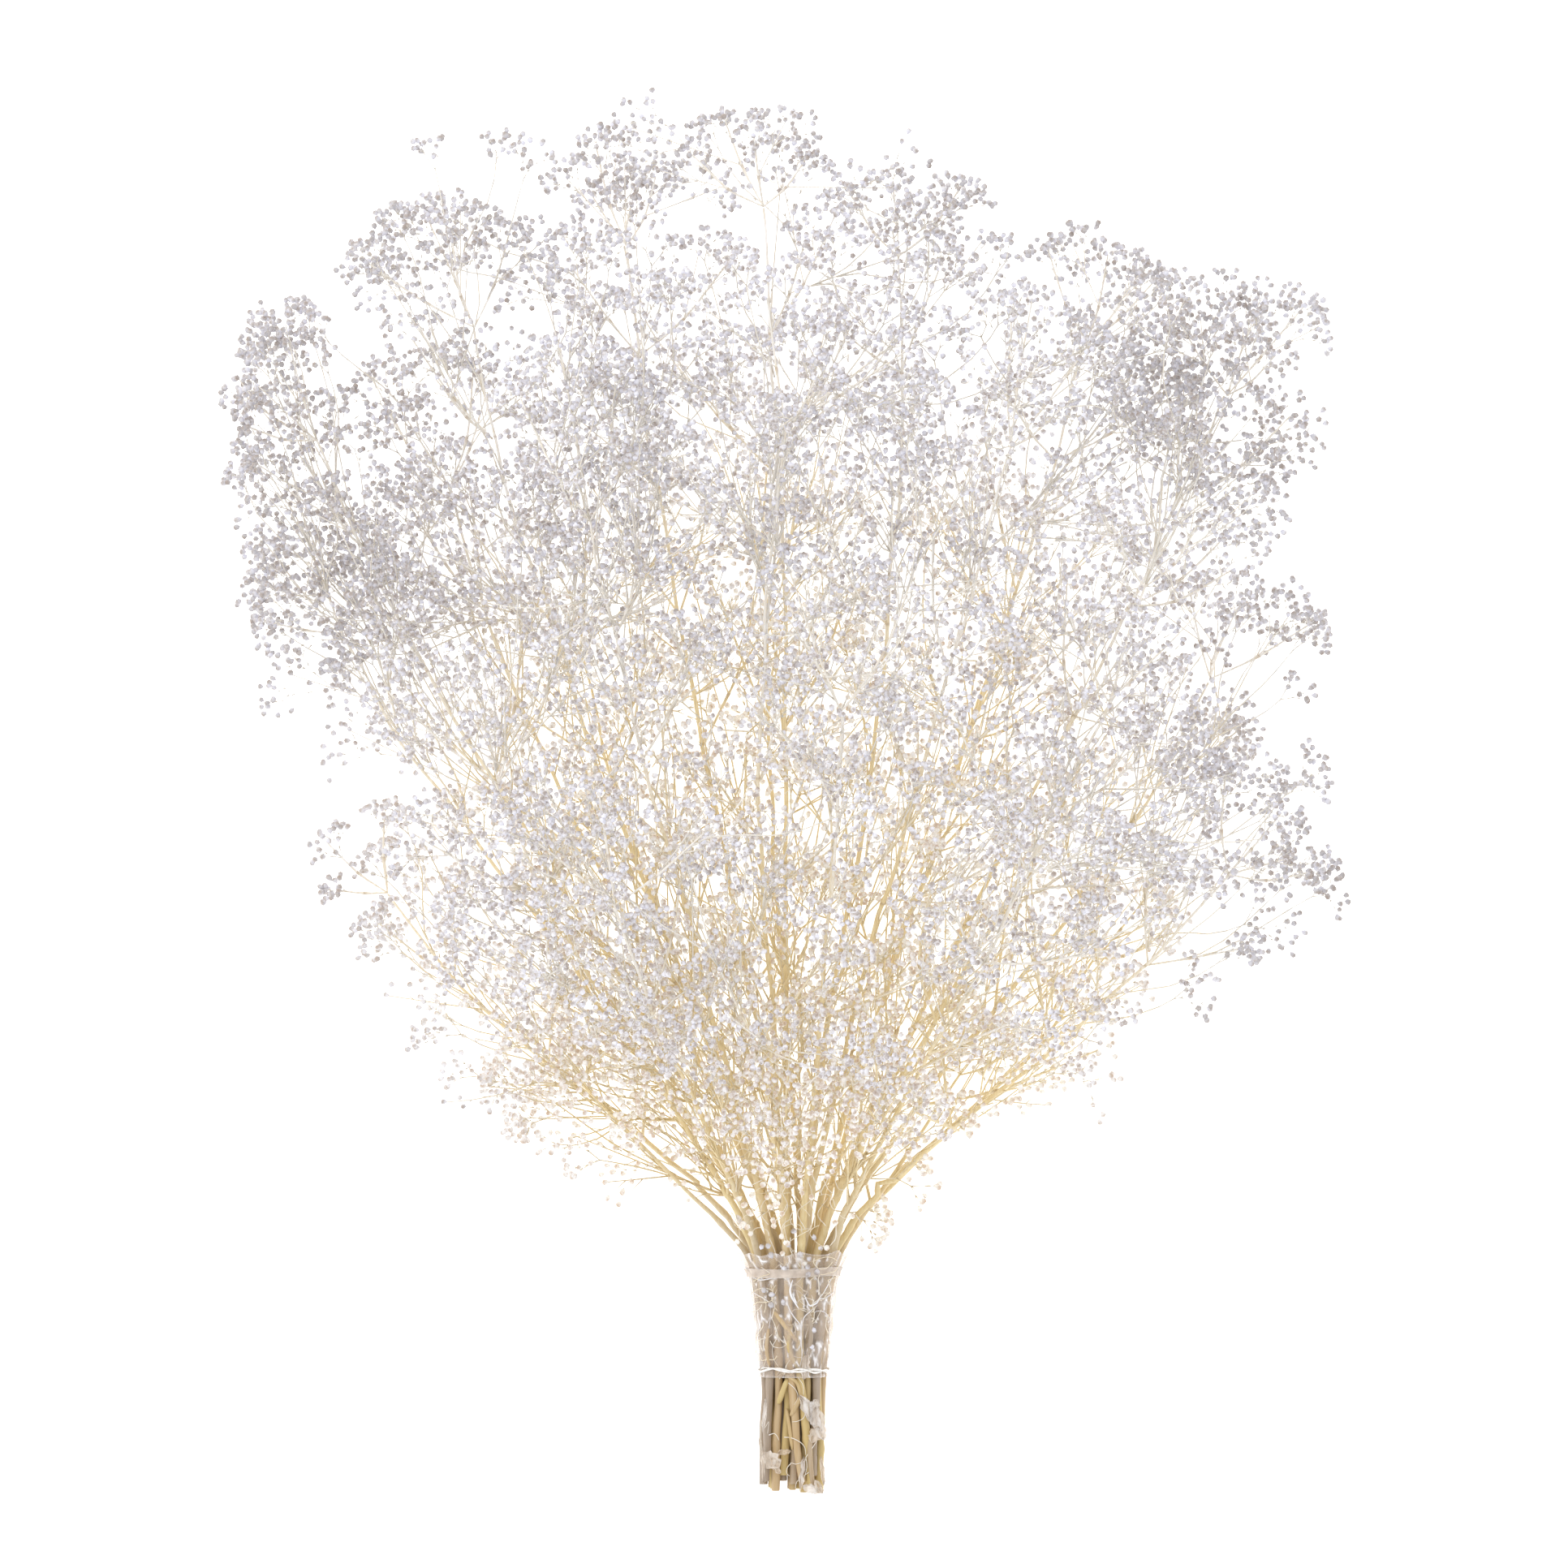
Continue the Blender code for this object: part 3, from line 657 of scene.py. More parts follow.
# Scraps of bleached leaf as (x, y, length, width, turn in degrees, curl), in millimetres
SCRAPS = (
    (8.6, -70.0, 21.0, 6.0, 122.0, 1.4),
    (13.0, -75.5, 17.0, 6.5, 104.0, 1.8),
    (10.9, -81.0, 9.0, 6.0, 66.0, 1.6),
    (10.4, -66.4, 7.0, 4.6, 60.0, 0.9),
    (-11.2, -93.6, 11.0, 7.5, 140.0, 2.4),
    (-8.9, -96.6, 9.0, 4.0, 118.0, 1.8),
    (9.0, -108.2, 10.0, 4.5, 160.0, 1.2),
    (12.5, -107.0, 8.0, 3.5, 120.0, 1.4),
    (-4.8, -89.6, 7.0, 3.0, 8.0, 1.5),
    (4.2, -100.0, 17.0, 2.6, 84.0, 0.9),
    (14.4, -99.0, 15.0, 2.2, 96.0, 0.8),
    (-26.5, 25.7, 9.0, 3.0, 118.0, 0.9),
    (6.0, -47.0, 13.0, 5.0, 80.0, 0.7),
    (-6.0, -50.0, 6.0, 3.0, 30.0, 1.0),
    (-14.6, -71.0, 18.0, 1.8, 84.0, 0.6),
    (-15.2, -96.0, 20.0, 1.6, 92.0, 0.6),
)
SCRAP_LONG = 16
SCRAP_WIDE = 9
SCRAP_SHEET = 0.00014

# Square view of the photo, and how far above it the camera stands
VIEW_CENTRE = (-0.0048, 0.2446, 0.10)
VIEW_SIDE = 0.7773
CAMERA_AWAY = 8.0
SENSOR = 36.0
FLOOR_HALF = 6.0
FLOOR_Z = -0.0005

# Seeds of the fine parts
STEM_SEED = 100
BUTT_SEED = 500
SPRAY_SEED = 7
TWIGLET_SEED = 8
BUNDLE_SEED = 9


# Meshes


def units(vectors):
    return vectors / np.linalg.norm(vectors, axis=-1, keepdims=True)


def fade(low, high, value):
    """0 below low, 1 above high, smooth between."""
    share = np.clip((value - low) / (high - low), 0.0, 1.0)
    return share * share * (3 - 2 * share)


def circle(side, other, sides):
    """Directions evenly round each line, from two that cross it."""
    turn = math.tau * np.arange(sides) / sides
    return np.cos(turn)[:, None] * side[..., None, :] + np.sin(turn)[:, None] * other[..., None, :]


def placed(name, data):
    made = bpy.data.objects.new(name, data)
    bpy.context.scene.collection.objects.link(made)
    return made


class Shape:
    """Closed bodies collected into one mesh, with three or four tints at each vertex."""

    def __init__(self):
        self.places = []
        self.faces = []
        self.tints = []
        self.size = 0

    def add(self, places, faces, tints):
        self.places.append(places)
        self.faces.append(faces + self.size)
        tints = np.broadcast_to(tints, (len(places), np.shape(tints)[-1]))
        self.tints.append(np.column_stack([tints, np.ones((len(places), 4 - tints.shape[1]))]))
        self.size += len(places)

    def piece(self, name, material, slot, *nodes, crisp=False):
        places = np.vstack(self.places)
        faces = np.vstack(self.faces)
        tints = np.vstack(self.tints)
        mesh = bpy.data.meshes.new(name)
        mesh.vertices.add(len(places))
        mesh.vertices.foreach_set("co", places.astype(np.float32).ravel())
        mesh.loops.add(faces.size)
        mesh.loops.foreach_set("vertex_index", faces.astype(np.int32).ravel())
        mesh.polygons.add(len(faces))
        mesh.polygons.foreach_set("loop_start", np.arange(0, faces.size, 3, dtype=np.int32))
        mesh.update(calc_edges=True)
        mesh.polygons.foreach_set("use_smooth", np.ones(len(faces), dtype=bool))
        if crisp:
            mesh.set_sharp_from_angle(angle=math.radians(CRISP_FROM))
        layer = mesh.color_attributes.new("tint", "FLOAT_COLOR", "POINT")
        layer.data.foreach_set("color", tints.astype(np.float32).ravel())
        mesh.materials.append(material)
        made = placed(name, mesh)
        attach(made, "root")
        if nodes:
            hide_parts(*nodes)


def tubes(points, radii, sides):
    """Closed tubes round many lines that have the same number of points."""
    lines, count = radii.shape
    ways = units(np.diff(points, axis=1))
    along = np.concatenate([ways[:, :1], ways], axis=1) + np.concatenate([ways, ways[:, -1:]], axis=1)
    along = units(along)
    pick = np.where(np.abs(along[:, :1, 2:]) < 0.8, (0.0, 0.0, 1.0), (1.0, 0.0, 0.0))
    side = np.empty_like(points)
    side[:, 0] = units(np.cross(along[:, 0], pick[:, 0]))
    for k in range(1, count):
        last = side[:, k - 1]
        side[:, k] = units(last - (last * along[:, k]).sum(axis=1)[:, None] * along[:, k])
    ring = circle(side, np.cross(along, side), sides)
    places = points[:, :, None] + radii[:, :, None, None] * ring
    index = np.arange(lines * count * sides).reshape(lines, count, sides)
    a, c = index[:, :-1], index[:, 1:]
    b, d = np.roll(a, -1, axis=2), np.roll(c, -1, axis=2)
    walls = np.concatenate([np.stack([a, b, d], -1), np.stack([a, d, c], -1)])
    first, last = index[:, 0], index[:, -1]
    caps = []
    for i in range(1, sides - 1):
        caps.append(np.stack([first[:, 0], first[:, i + 1], first[:, i]], -1))
        caps.append(np.stack([last[:, 0], last[:, i], last[:, i + 1]], -1))
    return places.reshape(-1, 3), np.vstack([walls.reshape(-1, 3), *caps])


def smooth_line(points, radii, shares, knot):
    """A smooth curve through the points, with its radii and how much of a knot each place is."""
    points = np.array(points)
    ends = np.vstack([2 * points[0] - points[1], points, 2 * points[-1] - points[-2]])
    line, thick, knots = [], [], []
    for i in range(len(points) - 1):
        before, start, end, after = ends[i:i + 4]
        for t in shares:
            curve = 2 * start + (end - before) * t
            curve = curve + (2 * before - 5 * start + 4 * end - after) * t**2
            curve = curve + (3 * start - before - 3 * end + after) * t**3
            line.append(0.5 * curve)
            swell = 1.0 if t == 0.0 and i > 0 else 0.0
            thick.append((radii[i] + (radii[i + 1] - radii[i]) * t) * (1 + (knot - 1) * swell))
            knots.append(swell)
    line.append(points[-1])
    thick.append(radii[-1])
    knots.append(0.0)
    return np.array(line), np.array(thick), np.array(knots)


def spikes(starts, ends, radius):
    """Closed three-sided spikes, each with its foot at the start and its point at the end."""
    along = units(ends - starts)
    pick = np.where(np.abs(along[:, 2:]) < 0.8, (0.0, 0.0, 1.0), (1.0, 0.0, 0.0))
    side = units(np.cross(along, pick))
    ring = circle(side, np.cross(along, side), 3)
    places = np.concatenate([starts[:, None] + radius * ring, ends[:, None]], axis=1)
    faces = np.array([(0, 2, 1), (0, 1, 3), (1, 2, 3), (2, 0, 3)])
    faces = faces[None] + 4 * np.arange(len(starts))[:, None, None]
    return places.reshape(-1, 3), faces.reshape(-1, 3)


# Tints


def paleness(places):
    """0 for golden stems in the heart of the bunch, 1 for bleached ones outside. The gold and cream inside
    are partly the stems' and buds' own colour, partly a painted warm glow.
    """
    away = (places - CORE) / CORE_SIZE
    return fade(0.55, 1.25, np.sqrt((away * away).sum(axis=-1)))


def rim(places):
    """1 in the lobes round the edge of the head, 0 inside it."""
    away = (places[..., :2] - (0.0, 0.28)) / (0.25, 0.29)
    return fade(0.70, 1.02, np.sqrt((away * away).sum(axis=-1)))


def heart(places):
    """1 over the heart of the head, where painted light keeps the buds on top white."""
    away = (places[..., :2] - (0.005, 0.175)) / (0.19, 0.175)
    return fade(1.15, 0.65, np.sqrt((away * away).sum(axis=-1)))


def age(places):
    """1 at the brown cut ends, 0 above the film."""
    return fade(0.10, -0.06, places[..., 1])


def stem_tints(places, knots, pale_more, kind=0.5):
    """Paleness, age, knot and kind of stem for each vertex."""
    pale = np.clip(paleness(places) + pale_more, 0, 1)
    knots = np.broadcast_to(knots, pale.shape)
    return np.stack([pale, age(places), knots, np.full(pale.shape, kind)], -1)


# Flowering twigs


def within(places):
    """The places, drawn in at the head's edges, with any under the surface laid on it."""
    places = places.copy()
    for axis, (low, high) in enumerate(EDGES):
        value = places[:, axis]
        places[:, axis] = value - DRAWN_IN * (np.maximum(value - high, 0) + np.minimum(value - low, 0))
    places[:, 2] = np.maximum(places[:, 2], FLOOR_ROOM)
    return places


def cymes(starts, ways, reaches, levels, chance):
    """Forked flowering twigs from many starts at once: stalks, and buds with their directions."""
    place, way, reach = starts, units(ways), reaches
    side = units(np.cross(way, chance.normal(size=way.shape)))
    stalks, tips, aims = [], [], []
    for level, share in enumerate(CYME_SHARES[:levels]):
        length = reach * share * chance.uniform(0.75, 1.25, len(reach))
        end = place + way * length[:, None]
        stalks.append((within(place), within(end), CYME_RADII[level]))
        aim = units(way + chance.normal(0, 0.22, way.shape))
        tip = within(end + aim * (reach * 0.17 * chance.uniform(0.8, 1.5, len(reach)))[:, None])
        keep = chance.random(len(reach)) < 0.92
        stalks.append((within(end)[keep], tip[keep], PEDICEL_RADIUS))
        tips.append(tip[keep])
        aims.append(aim[keep])
        angle = np.radians(chance.uniform(17, 36, (2, len(reach), 1)))
        turn = units(np.cross(way, side))
        left = way * np.cos(angle[0]) + turn * np.sin(angle[0])
        right = way * np.cos(angle[1]) - turn * np.sin(angle[1])
        place = np.concatenate([end, end])
        way = units(np.concatenate([left, right]))
        side = np.concatenate([turn, turn])
        side = units(side + chance.normal(0, 0.35, side.shape))
        reach = np.concatenate([reach, reach])
        if level >= 2:
            alive = chance.random(len(reach)) < 0.95
            place, way, side, reach = place[alive], way[alive], side[alive], reach[alive]
    end = within(place + way * (reach * 0.15 * chance.uniform(0.8, 1.3, len(reach)))[:, None])
    stalks.append((within(place), end, PEDICEL_RADIUS))
    tips.append(end)
    aims.append(way)
    return stalks, np.vstack(tips), np.vstack(aims)


def add_stalks(wood, stalks):
    """Thin stalks, thicker where they fork. The finest run to a point inside the next."""
    thin = 1.12 - 0.36 * float(rim(stalks[0][0][:1])[0])
    for starts, ends, radius in stalks:
        span = ends - starts
        keep = (span * span).sum(axis=1) > 1e-7
        starts, ends = starts[keep], ends[keep]
        if not len(starts):
            continue
        if radius in CYME_RADII[:2]:
            lines = np.stack([starts, ends], axis=1)
            radii = np.broadcast_to((0.90 * radius * thin, 1.20 * radius * thin), (len(starts), 2))
            places, faces = tubes(lines, radii, TWIG_SIDES)
        else:
            places, faces = spikes(starts, ends + 0.0004 * units(ends - starts), radius * thin)
        wood.add(places, faces, stem_tints(places, 0.25, 0.25))


def add_buds(petals, tips, aims, chance, creamy=1.0):
    """Small urn-shaped buds that sit on their stalks' ends."""
    count = len(tips)
    length = FLOWER_LENGTH * chance.uniform(0.84, 1.12, count)
    radius = FLOWER_RADIUS * chance.uniform(0.84, 1.10, count)
    aims = units(aims + chance.normal(0, 0.20, aims.shape))
    side = units(np.cross(aims, chance.normal(size=aims.shape)))
    ring = circle(side, np.cross(aims, side), FLOWER_SIDES)
    base = tips - FLOWER_SINK * aims
    rows = []
    for share, wide in FLOWER_SHAPE:
        centre = base + (share * length)[:, None] * aims
        if wide:
            rows.append(centre[:, None] + (wide * radius)[:, None, None] * ring)
        else:
            rows.append(centre[:, None])
    places = np.concatenate(rows, axis=1)
    places[:, :, 2] += np.maximum(0.0, FLOWER_LOWEST - places[:, :, 2].min(axis=1))[:, None]
    along = [share for share, wide in FLOWER_SHAPE for _ in range(FLOWER_SIDES if wide else 1)]
    sides = np.arange(FLOWER_SIDES)
    after = np.roll(sides, -1)
    last = places.shape[1] - 1
    faces = [np.stack([0 * sides, 1 + after, 1 + sides], -1)]
    for row in range(len(FLOWER_SHAPE) - 3):
        a = 1 + row * FLOWER_SIDES
        b = a + FLOWER_SIDES
        faces.append(np.stack([a + sides, a + after, b + after], -1))
        faces.append(np.stack([a + sides, b + after, b + sides], -1))
    faces.append(np.stack([0 * sides + last, b + sides, b + after], -1))
    faces = np.vstack(faces)[None] + places.shape[1] * np.arange(count)[:, None, None]
    # random darker buds, plus painted shade on the buds round the rim of the head; painted light keeps the
    # buds over the heart lighter
    tone_and_painted_shade = (0.62 * chance.random(count) + 0.38 * rim(tips)) * (1 - 0.62 * heart(tips))
    tone_and_painted_shade = np.broadcast_to(tone_and_painted_shade[:, None], places.shape[:2])
    tints = np.stack([np.broadcast_to(along, places.shape[:2]), tone_and_painted_shade, creamy * (1 - paleness(places))], -1)
    petals.add(places.reshape(-1, 3), faces.reshape(-1, 3), tints.reshape(-1, 3))


def bent(line, seed):
    """The line with soft bends, none of them in the bundle or at its own foot."""
    share = fade(0.03, 0.16, line[:, 1]) * np.minimum(1.0, np.arange(len(line)) / 8)
    for i, place in enumerate(line):
        spot = Vector(24.0 * place) + Vector((seed * 7.3, 0.0, 0.0))
        line[i] = place + BEND * share[i] * np.array(noise.noise_vector(spot))
    return line


def as_butt(line, thick, knots, owner):
    """Knots of its own in the bundle, uneven thickness, and a hollow cut end."""
    chance = np.random.default_rng(BUTT_SEED + owner)
    low = line[:, 1] < BUTT_TOP_Y
    ways = np.arange(line[0, 1] + 0.002, BUTT_TOP_Y, BUTT_STEP)
    sunk = np.stack([ways] * 3, axis=1)
    for axis in (0, 2):
        sunk[:, axis] = np.interp(ways, line[low, 1], line[low, axis])
    wide = np.interp(ways, line[low, 1], np.minimum(thick[low], thick[0]))
    lumps = np.zeros(len(ways))
    for y in [chance.uniform(*span) for span in KNOT_SPANS]:
        lumps += np.exp(-(((ways - y) / KNOT_LENGTH) ** 2)) * chance.uniform(0.3, 1.0)
    wide = wide * (1 + 0.30 * lumps + 0.10 * noise_along(ways, owner))
    sway = [noise_along(ways, owner + 40), 0 * ways, noise_along(ways, owner + 80)]
    sunk = sunk + 0.0005 * np.stack(sway, axis=1)
    share, depth, dark = np.array(HOLLOW).T
    cap = sunk[0] - depth[:, None] * (0.0, 1.0, 0.0)
    line = np.vstack([cap, sunk, line[~low]])
    thick = np.concatenate([wide[0] * share, wide, thick[~low]])
    knots = np.concatenate([dark, 0.6 * lumps, knots[~low]])
    return line, thick, knots


def noise_along(ways, seed):
    """Soft noise from about -1 to 1 along a stem."""
    return np.array([2 * noise.noise(Vector((55.0 * way, 3.7 * seed, 1.0))) for way in ways])


def add_limb(wood, limb):
    """A smooth stem, branch or twig along its CAD points, without the CAD's own bud."""
    points, radii = limb.points, list(limb.radii)
    shares, sides = BRANCH_SHARES, BRANCH_SIDES
    if limb.level:
        points, radii = points[:-2], radii[:-2]
    else:
        shares, sides = MAIN_SHARES, MAIN_SIDES
        points = np.array(points)
        points[0, 1] += BUTT_SHIFT * ((0.618 * limb.owner) % 1.0) ** 2
    line, thick, knots = smooth_line(points, radii, shares, KNOT[limb.level])
    thick = thick * LIMB_SCALE[limb.level]
    if limb.level:
        thick = thick * np.linspace(1.0, LIMB_TAPER, len(thick))
    else:
        line, thick, knots = as_butt(line, thick, knots, limb.owner)
        line = bent(line, limb.owner)
    line[:, 2] = np.maximum(line[:, 2], thick)
    places, faces = tubes(line[None], thick[None], sides)
    kind = (0.38 * limb.owner) % 1.0
    tints = stem_tints(places, np.repeat(knots, sides), LIMB_PALER[limb.level], kind)
    wood.add(places, faces, tints)


def dress_stem(limbs, wood, petals, chance):
    """Fine limbs, with a flowering cyme round the end of each branch and twig."""
    starts, ways, reaches = [], [], []
    for limb in limbs:
        add_limb(wood, limb)
        if limb.level:
            root, tip = limb.points[-4], limb.points[-1]
            starts.append(root + 0.12 * (tip - root))
            ways.append(tip - root)
            reaches.append(0.88 * math.dist(root, tip) * 1.08)
    levels = len(CYME_SHARES)
    stalks, tips, aims = cymes(np.array(starts), np.array(ways), np.array(reaches), levels, chance)
    add_stalks(wood, stalks)
    add_buds(petals, tips, aims, chance)
    ends = np.array([limb.points[-3] for limb in limbs if limb.level])
    add_buds(petals, ends, np.array(ways), chance)


# Sprays that fill the head, each grown from the nearest limb


def find_anchors(stems):
    """Places along the limbs that a spray can grow from, with directions and owners."""
    places, ways, owners = [], [], []
    for owner, limbs in enumerate(stems):
        for limb in limbs:
            points = limb.points if limb.level == 0 else limb.points[:-2]
            for start, end in zip(points[:-1], points[1:]):
                for share in ANCHOR_SHARES:
                    place = start + share * (end - start)
                    if place[1] > SPRAYS_FROM_Y:
                        places.append(place)
                        ways.append(unit(end - start))
                        owners.append(owner)
    return np.array(places), np.array(ways), np.array(owners)


def spray_place(lobes, share, tips, chance):
    """Of several places between the neck and the lobes, the one with most room."""
    room = lobes[:, 3] * share**0.8 * chance.random(SPRAY_TRIES) ** 0.4
    places = NECK + share[:, None] * (lobes[:, :3] - NECK)
    places += room[:, None] * units(chance.normal(size=places.shape))
    places = places[(places[:, 2] > SPRAYS_FROM_Z) & (places[:, 1] > SPRAYS_FROM_Y)]
    apart = np.linalg.norm(places[:, None] - tips[None], axis=2).min(axis=1)
    return places[np.argmax(apart)]


def curved_twig(wood, ends, ways, reach, shares, radii, pale):
    """A thin twig from a limb to its tip, which leaves and arrives as the two ways say."""
    (root, tip), (leave, arrive) = ends, ways
    handles = (root, root + TWIG_PULL * reach * leave, tip - TWIG_PULL * reach * arrive, tip)
    line = np.array([bezier(handles, t) for t in shares])
    line[:, 2] = np.maximum(line[:, 2], FLOOR_ROOM)
    places, faces = tubes(line[None], np.linspace(*radii, len(line))[None], TWIG_SIDES)
    wood.add(places, faces, stem_tints(places, 0.0, pale))
    return line


def grow_sprays(stems, woods, petals, chance):
    """Thin curved twigs from the limbs to places with room, each with a cyme at its end."""
    anchors, directions, owners = find_anchors(stems)
    tips = np.array([limb.points[-1] for limbs in stems for limb in limbs if limb.level])
    thick = [(np.array([row[:4]] * SPRAY_TRIES), i % 2 == 1) for row in THICK for i in range(row[4])]
    for number in range(SPRAYS + SMALL_SPRAYS + len(thick)):
        if number < len(thick):
            lobes, small = thick[number]
            share = np.ones(SPRAY_TRIES)
        else:
            small = number >= len(thick) + SPRAYS
            lobes = LOBES[chance.integers(len(LOBES), size=SPRAY_TRIES)]
            share = chance.uniform(0.12, 1.0, SPRAY_TRIES) ** 0.75
        target = spray_place(lobes, share, tips, chance)
        tips = np.vstack([tips, target])
        away = target - anchors
        distance = np.linalg.norm(away, axis=1)
        turned = (away * directions).sum(axis=1) / distance
        cost = np.abs(distance - SPRAY_STEM) + 0.035 * (1 - turned) + 1.0 * (distance < 0.012)
        nearest = int(np.argmin(cost))
        root, owner, reach = anchors[nearest], owners[nearest], distance[nearest]
        aim = unit(away[nearest] / reach + 0.5 * unit(target - NECK) + chance.normal(0, 0.15, 3))
        ways = (directions[nearest], aim)
        curved_twig(woods[owner], (root, target), ways, reach, SPRAY_SHARES, SPRAY_RADII, 0.0)
        size = np.array([chance.uniform(*(SMALL_REACH if small else SPRAY_REACH))])
        levels = 3 if small else 4
        stalks, buds, aims = cymes(target[None], aim[None], size, levels, chance)
        add_stalks(woods[owner], stalks)
        add_buds(petals[owner], buds, aims, chance)


def grow_twiglets(stems, woods, petals, chance):
    """Curved twigs with three buds each, in the heart of the bunch."""
    anchors, directions, owners = find_anchors(stems)
    away = (anchors[:, :2] - HEART) / HEART_SIZE
    inside = np.flatnonzero((away * away).sum(axis=1) < 1)
    for pick in chance.choice(inside, TWIGLETS):
        root, way, owner = anchors[pick], directions[pick], owners[pick]
        side = unit(np.cross(way, chance.normal(size=3)))
        length = chance.uniform(*TWIGLET_LENGTHS)
        out = unit(way + side * chance.uniform(0.35, 0.95))
        turned = unit(out + 0.35 * unit(root - NECK) + chance.normal(0, 0.18, 3))
        tip = root + length * unit(out + turned)
        tip[2] = min(max(tip[2], SPRAYS_FROM_Z), TWIGLET_TOP)
        pale = chance.choice((0.0, 0.0, 0.35))
        line = curved_twig(
            woods[owner], (root, tip), (out, turned), length, TWIGLET_SHARES, TWIGLET_RADII, pale
        )
        forks = line[[2, 3]]
        ways = units(turned + chance.normal(0, 0.55, (2, 3)))
        ends = forks + ways * chance.uniform(*FORK_LENGTHS, (2, 1))
        ends[:, 2] = np.maximum(ends[:, 2], FLOOR_ROOM)
        places, faces = spikes(forks, ends, FORK_RADIUS)
        woods[owner].add(places, faces, stem_tints(places, 0.0, 0.3))
        add_buds(petals[owner], np.vstack([line[-1:], ends]), np.vstack([turned, ways]), chance)


# The bundle's wraps, and what lies on it


def cuts(stems, y):
    """Where each main stem crosses y: x, z and radius, wider where it runs at a slant."""
    found = []
    y = max(y, CUT_Y + 1.5 * CUT_SCATTER)
    for limbs in stems:
        points = np.array(limbs[0].points)
        radius = limbs[0].radii[0]
        runs = np.diff(points, axis=0)
        if y > points[-2, 1]:
            found.append((0.0, -1.0, 0.001))
            continue
        slants = np.sqrt((runs * runs).sum(axis=1)) / runs[:, 1]
        near = np.searchsorted(points[1:-1, 1], y + np.linspace(-2.2, 2.2, 12) * radius)
        slant = slants[near].mean()
        x = np.interp(y, points[:, 1], points[:, 0])
        z = np.interp(y, points[:, 1], points[:, 2])
        found.append((x, z, radius * slant))
    return np.array(found)


def wrap_ring(stems, y, offset, count):
    """Evenly spaced places on a sheet pulled round the stems at y, from below their middle."""
    circles = cuts(stems, y)
    turns = math.tau * (np.arange(720) / 720 - 0.25)
    normals = np.stack([np.cos(turns), np.sin(turns)], axis=1)
    reach = normals @ circles[:, :2].T + circles[:, 2]
    most = reach.argmax(axis=1)
    ring = circles[most, :2] + (circles[most, 2] + offset)[:, None] * normals
    ring = np.vstack([ring, ring[:1]])
    way = np.append(0.0, np.cumsum(np.sqrt((np.diff(ring, axis=0) ** 2).sum(axis=1))))
    left, right = ring[:-1, 0], ring[1:, 0]
    i = np.flatnonzero((left < 0) & (right >= 0) & (ring[:-1, 1] < ring[:, 1].mean()))[0]
    start = way[i] + (way[i + 1] - way[i]) * left[i] / (left[i] - right[i])
    spots = (start + np.linspace(0.0, way[-1], count, endpoint=False)) % way[-1]
    x = np.interp(spots, way, ring[:, 0])
    z = np.interp(spots, way, ring[:, 1])
    return np.stack([x, np.full(count, y), z], axis=1)


def sleeve(shape, rings, sheet, tints):
    """A closed tube with a hollow, from rings of places and how thick its sheet is."""
    rows, around = rings.shape[:2]
    middle = rings.mean(axis=1, keepdims=True)
    inward = (middle - rings) * (1.0, 0.0, 1.0)
    inner = rings + sheet * units(inward)
    places = np.concatenate([rings, inner[::-1]])
    tints = np.concatenate([tints, tints[::-1]])
    index = np.arange(2 * rows * around).reshape(2 * rows, around)
    index = np.vstack([index, index[:1]])
    a, b = index[:-1], index[1:]
    c, d = np.roll(a, -1, axis=1), np.roll(b, -1, axis=1)
    faces = np.concatenate([np.stack([a, d, c], -1), np.stack([a, b, d], -1)])
    shape.add(places.reshape(-1, 3), faces.reshape(-1, 3), tints.reshape(-1, tints.shape[-1]))


def top_of(stems, x, y):
    """Height of the stems' upper surface, filled in between them."""
    circles = cuts(stems, y)
    across = np.clip((x - circles[:, 0]) / (circles[:, 2] + 0.0012), -1, 1)
    return float((circles[:, 1] + circles[:, 2] * np.sqrt(1 - across**2)).max())


def on_top(stems, line, lift):
    """A smooth line through (x, y) places in millimetres, laid on the stems."""
    flat = [np.array([x / 1000, y / 1000, 0.0]) for x, y in line]
    curve, _, _ = smooth_line(flat, [1.0] * len(flat), (0.0, 0.2, 0.4, 0.6, 0.8), 1.0)
    heights = np.array([top_of(stems, x, y) for x, y, _ in curve])
    padded = np.pad(heights, 1, mode="edge")
    curve[:, 2] = np.maximum(heights, (padded[:-2] + padded[1:-1] + padded[2:]) / 3) + lift
    return curve


def nearest_stem(stems, place):
    circles = cuts(stems, place[1])
    away = np.hypot(circles[:, 0] - place[0], circles[:, 1] - place[2]) - circles[:, 2]
    return int(np.argmin(away))


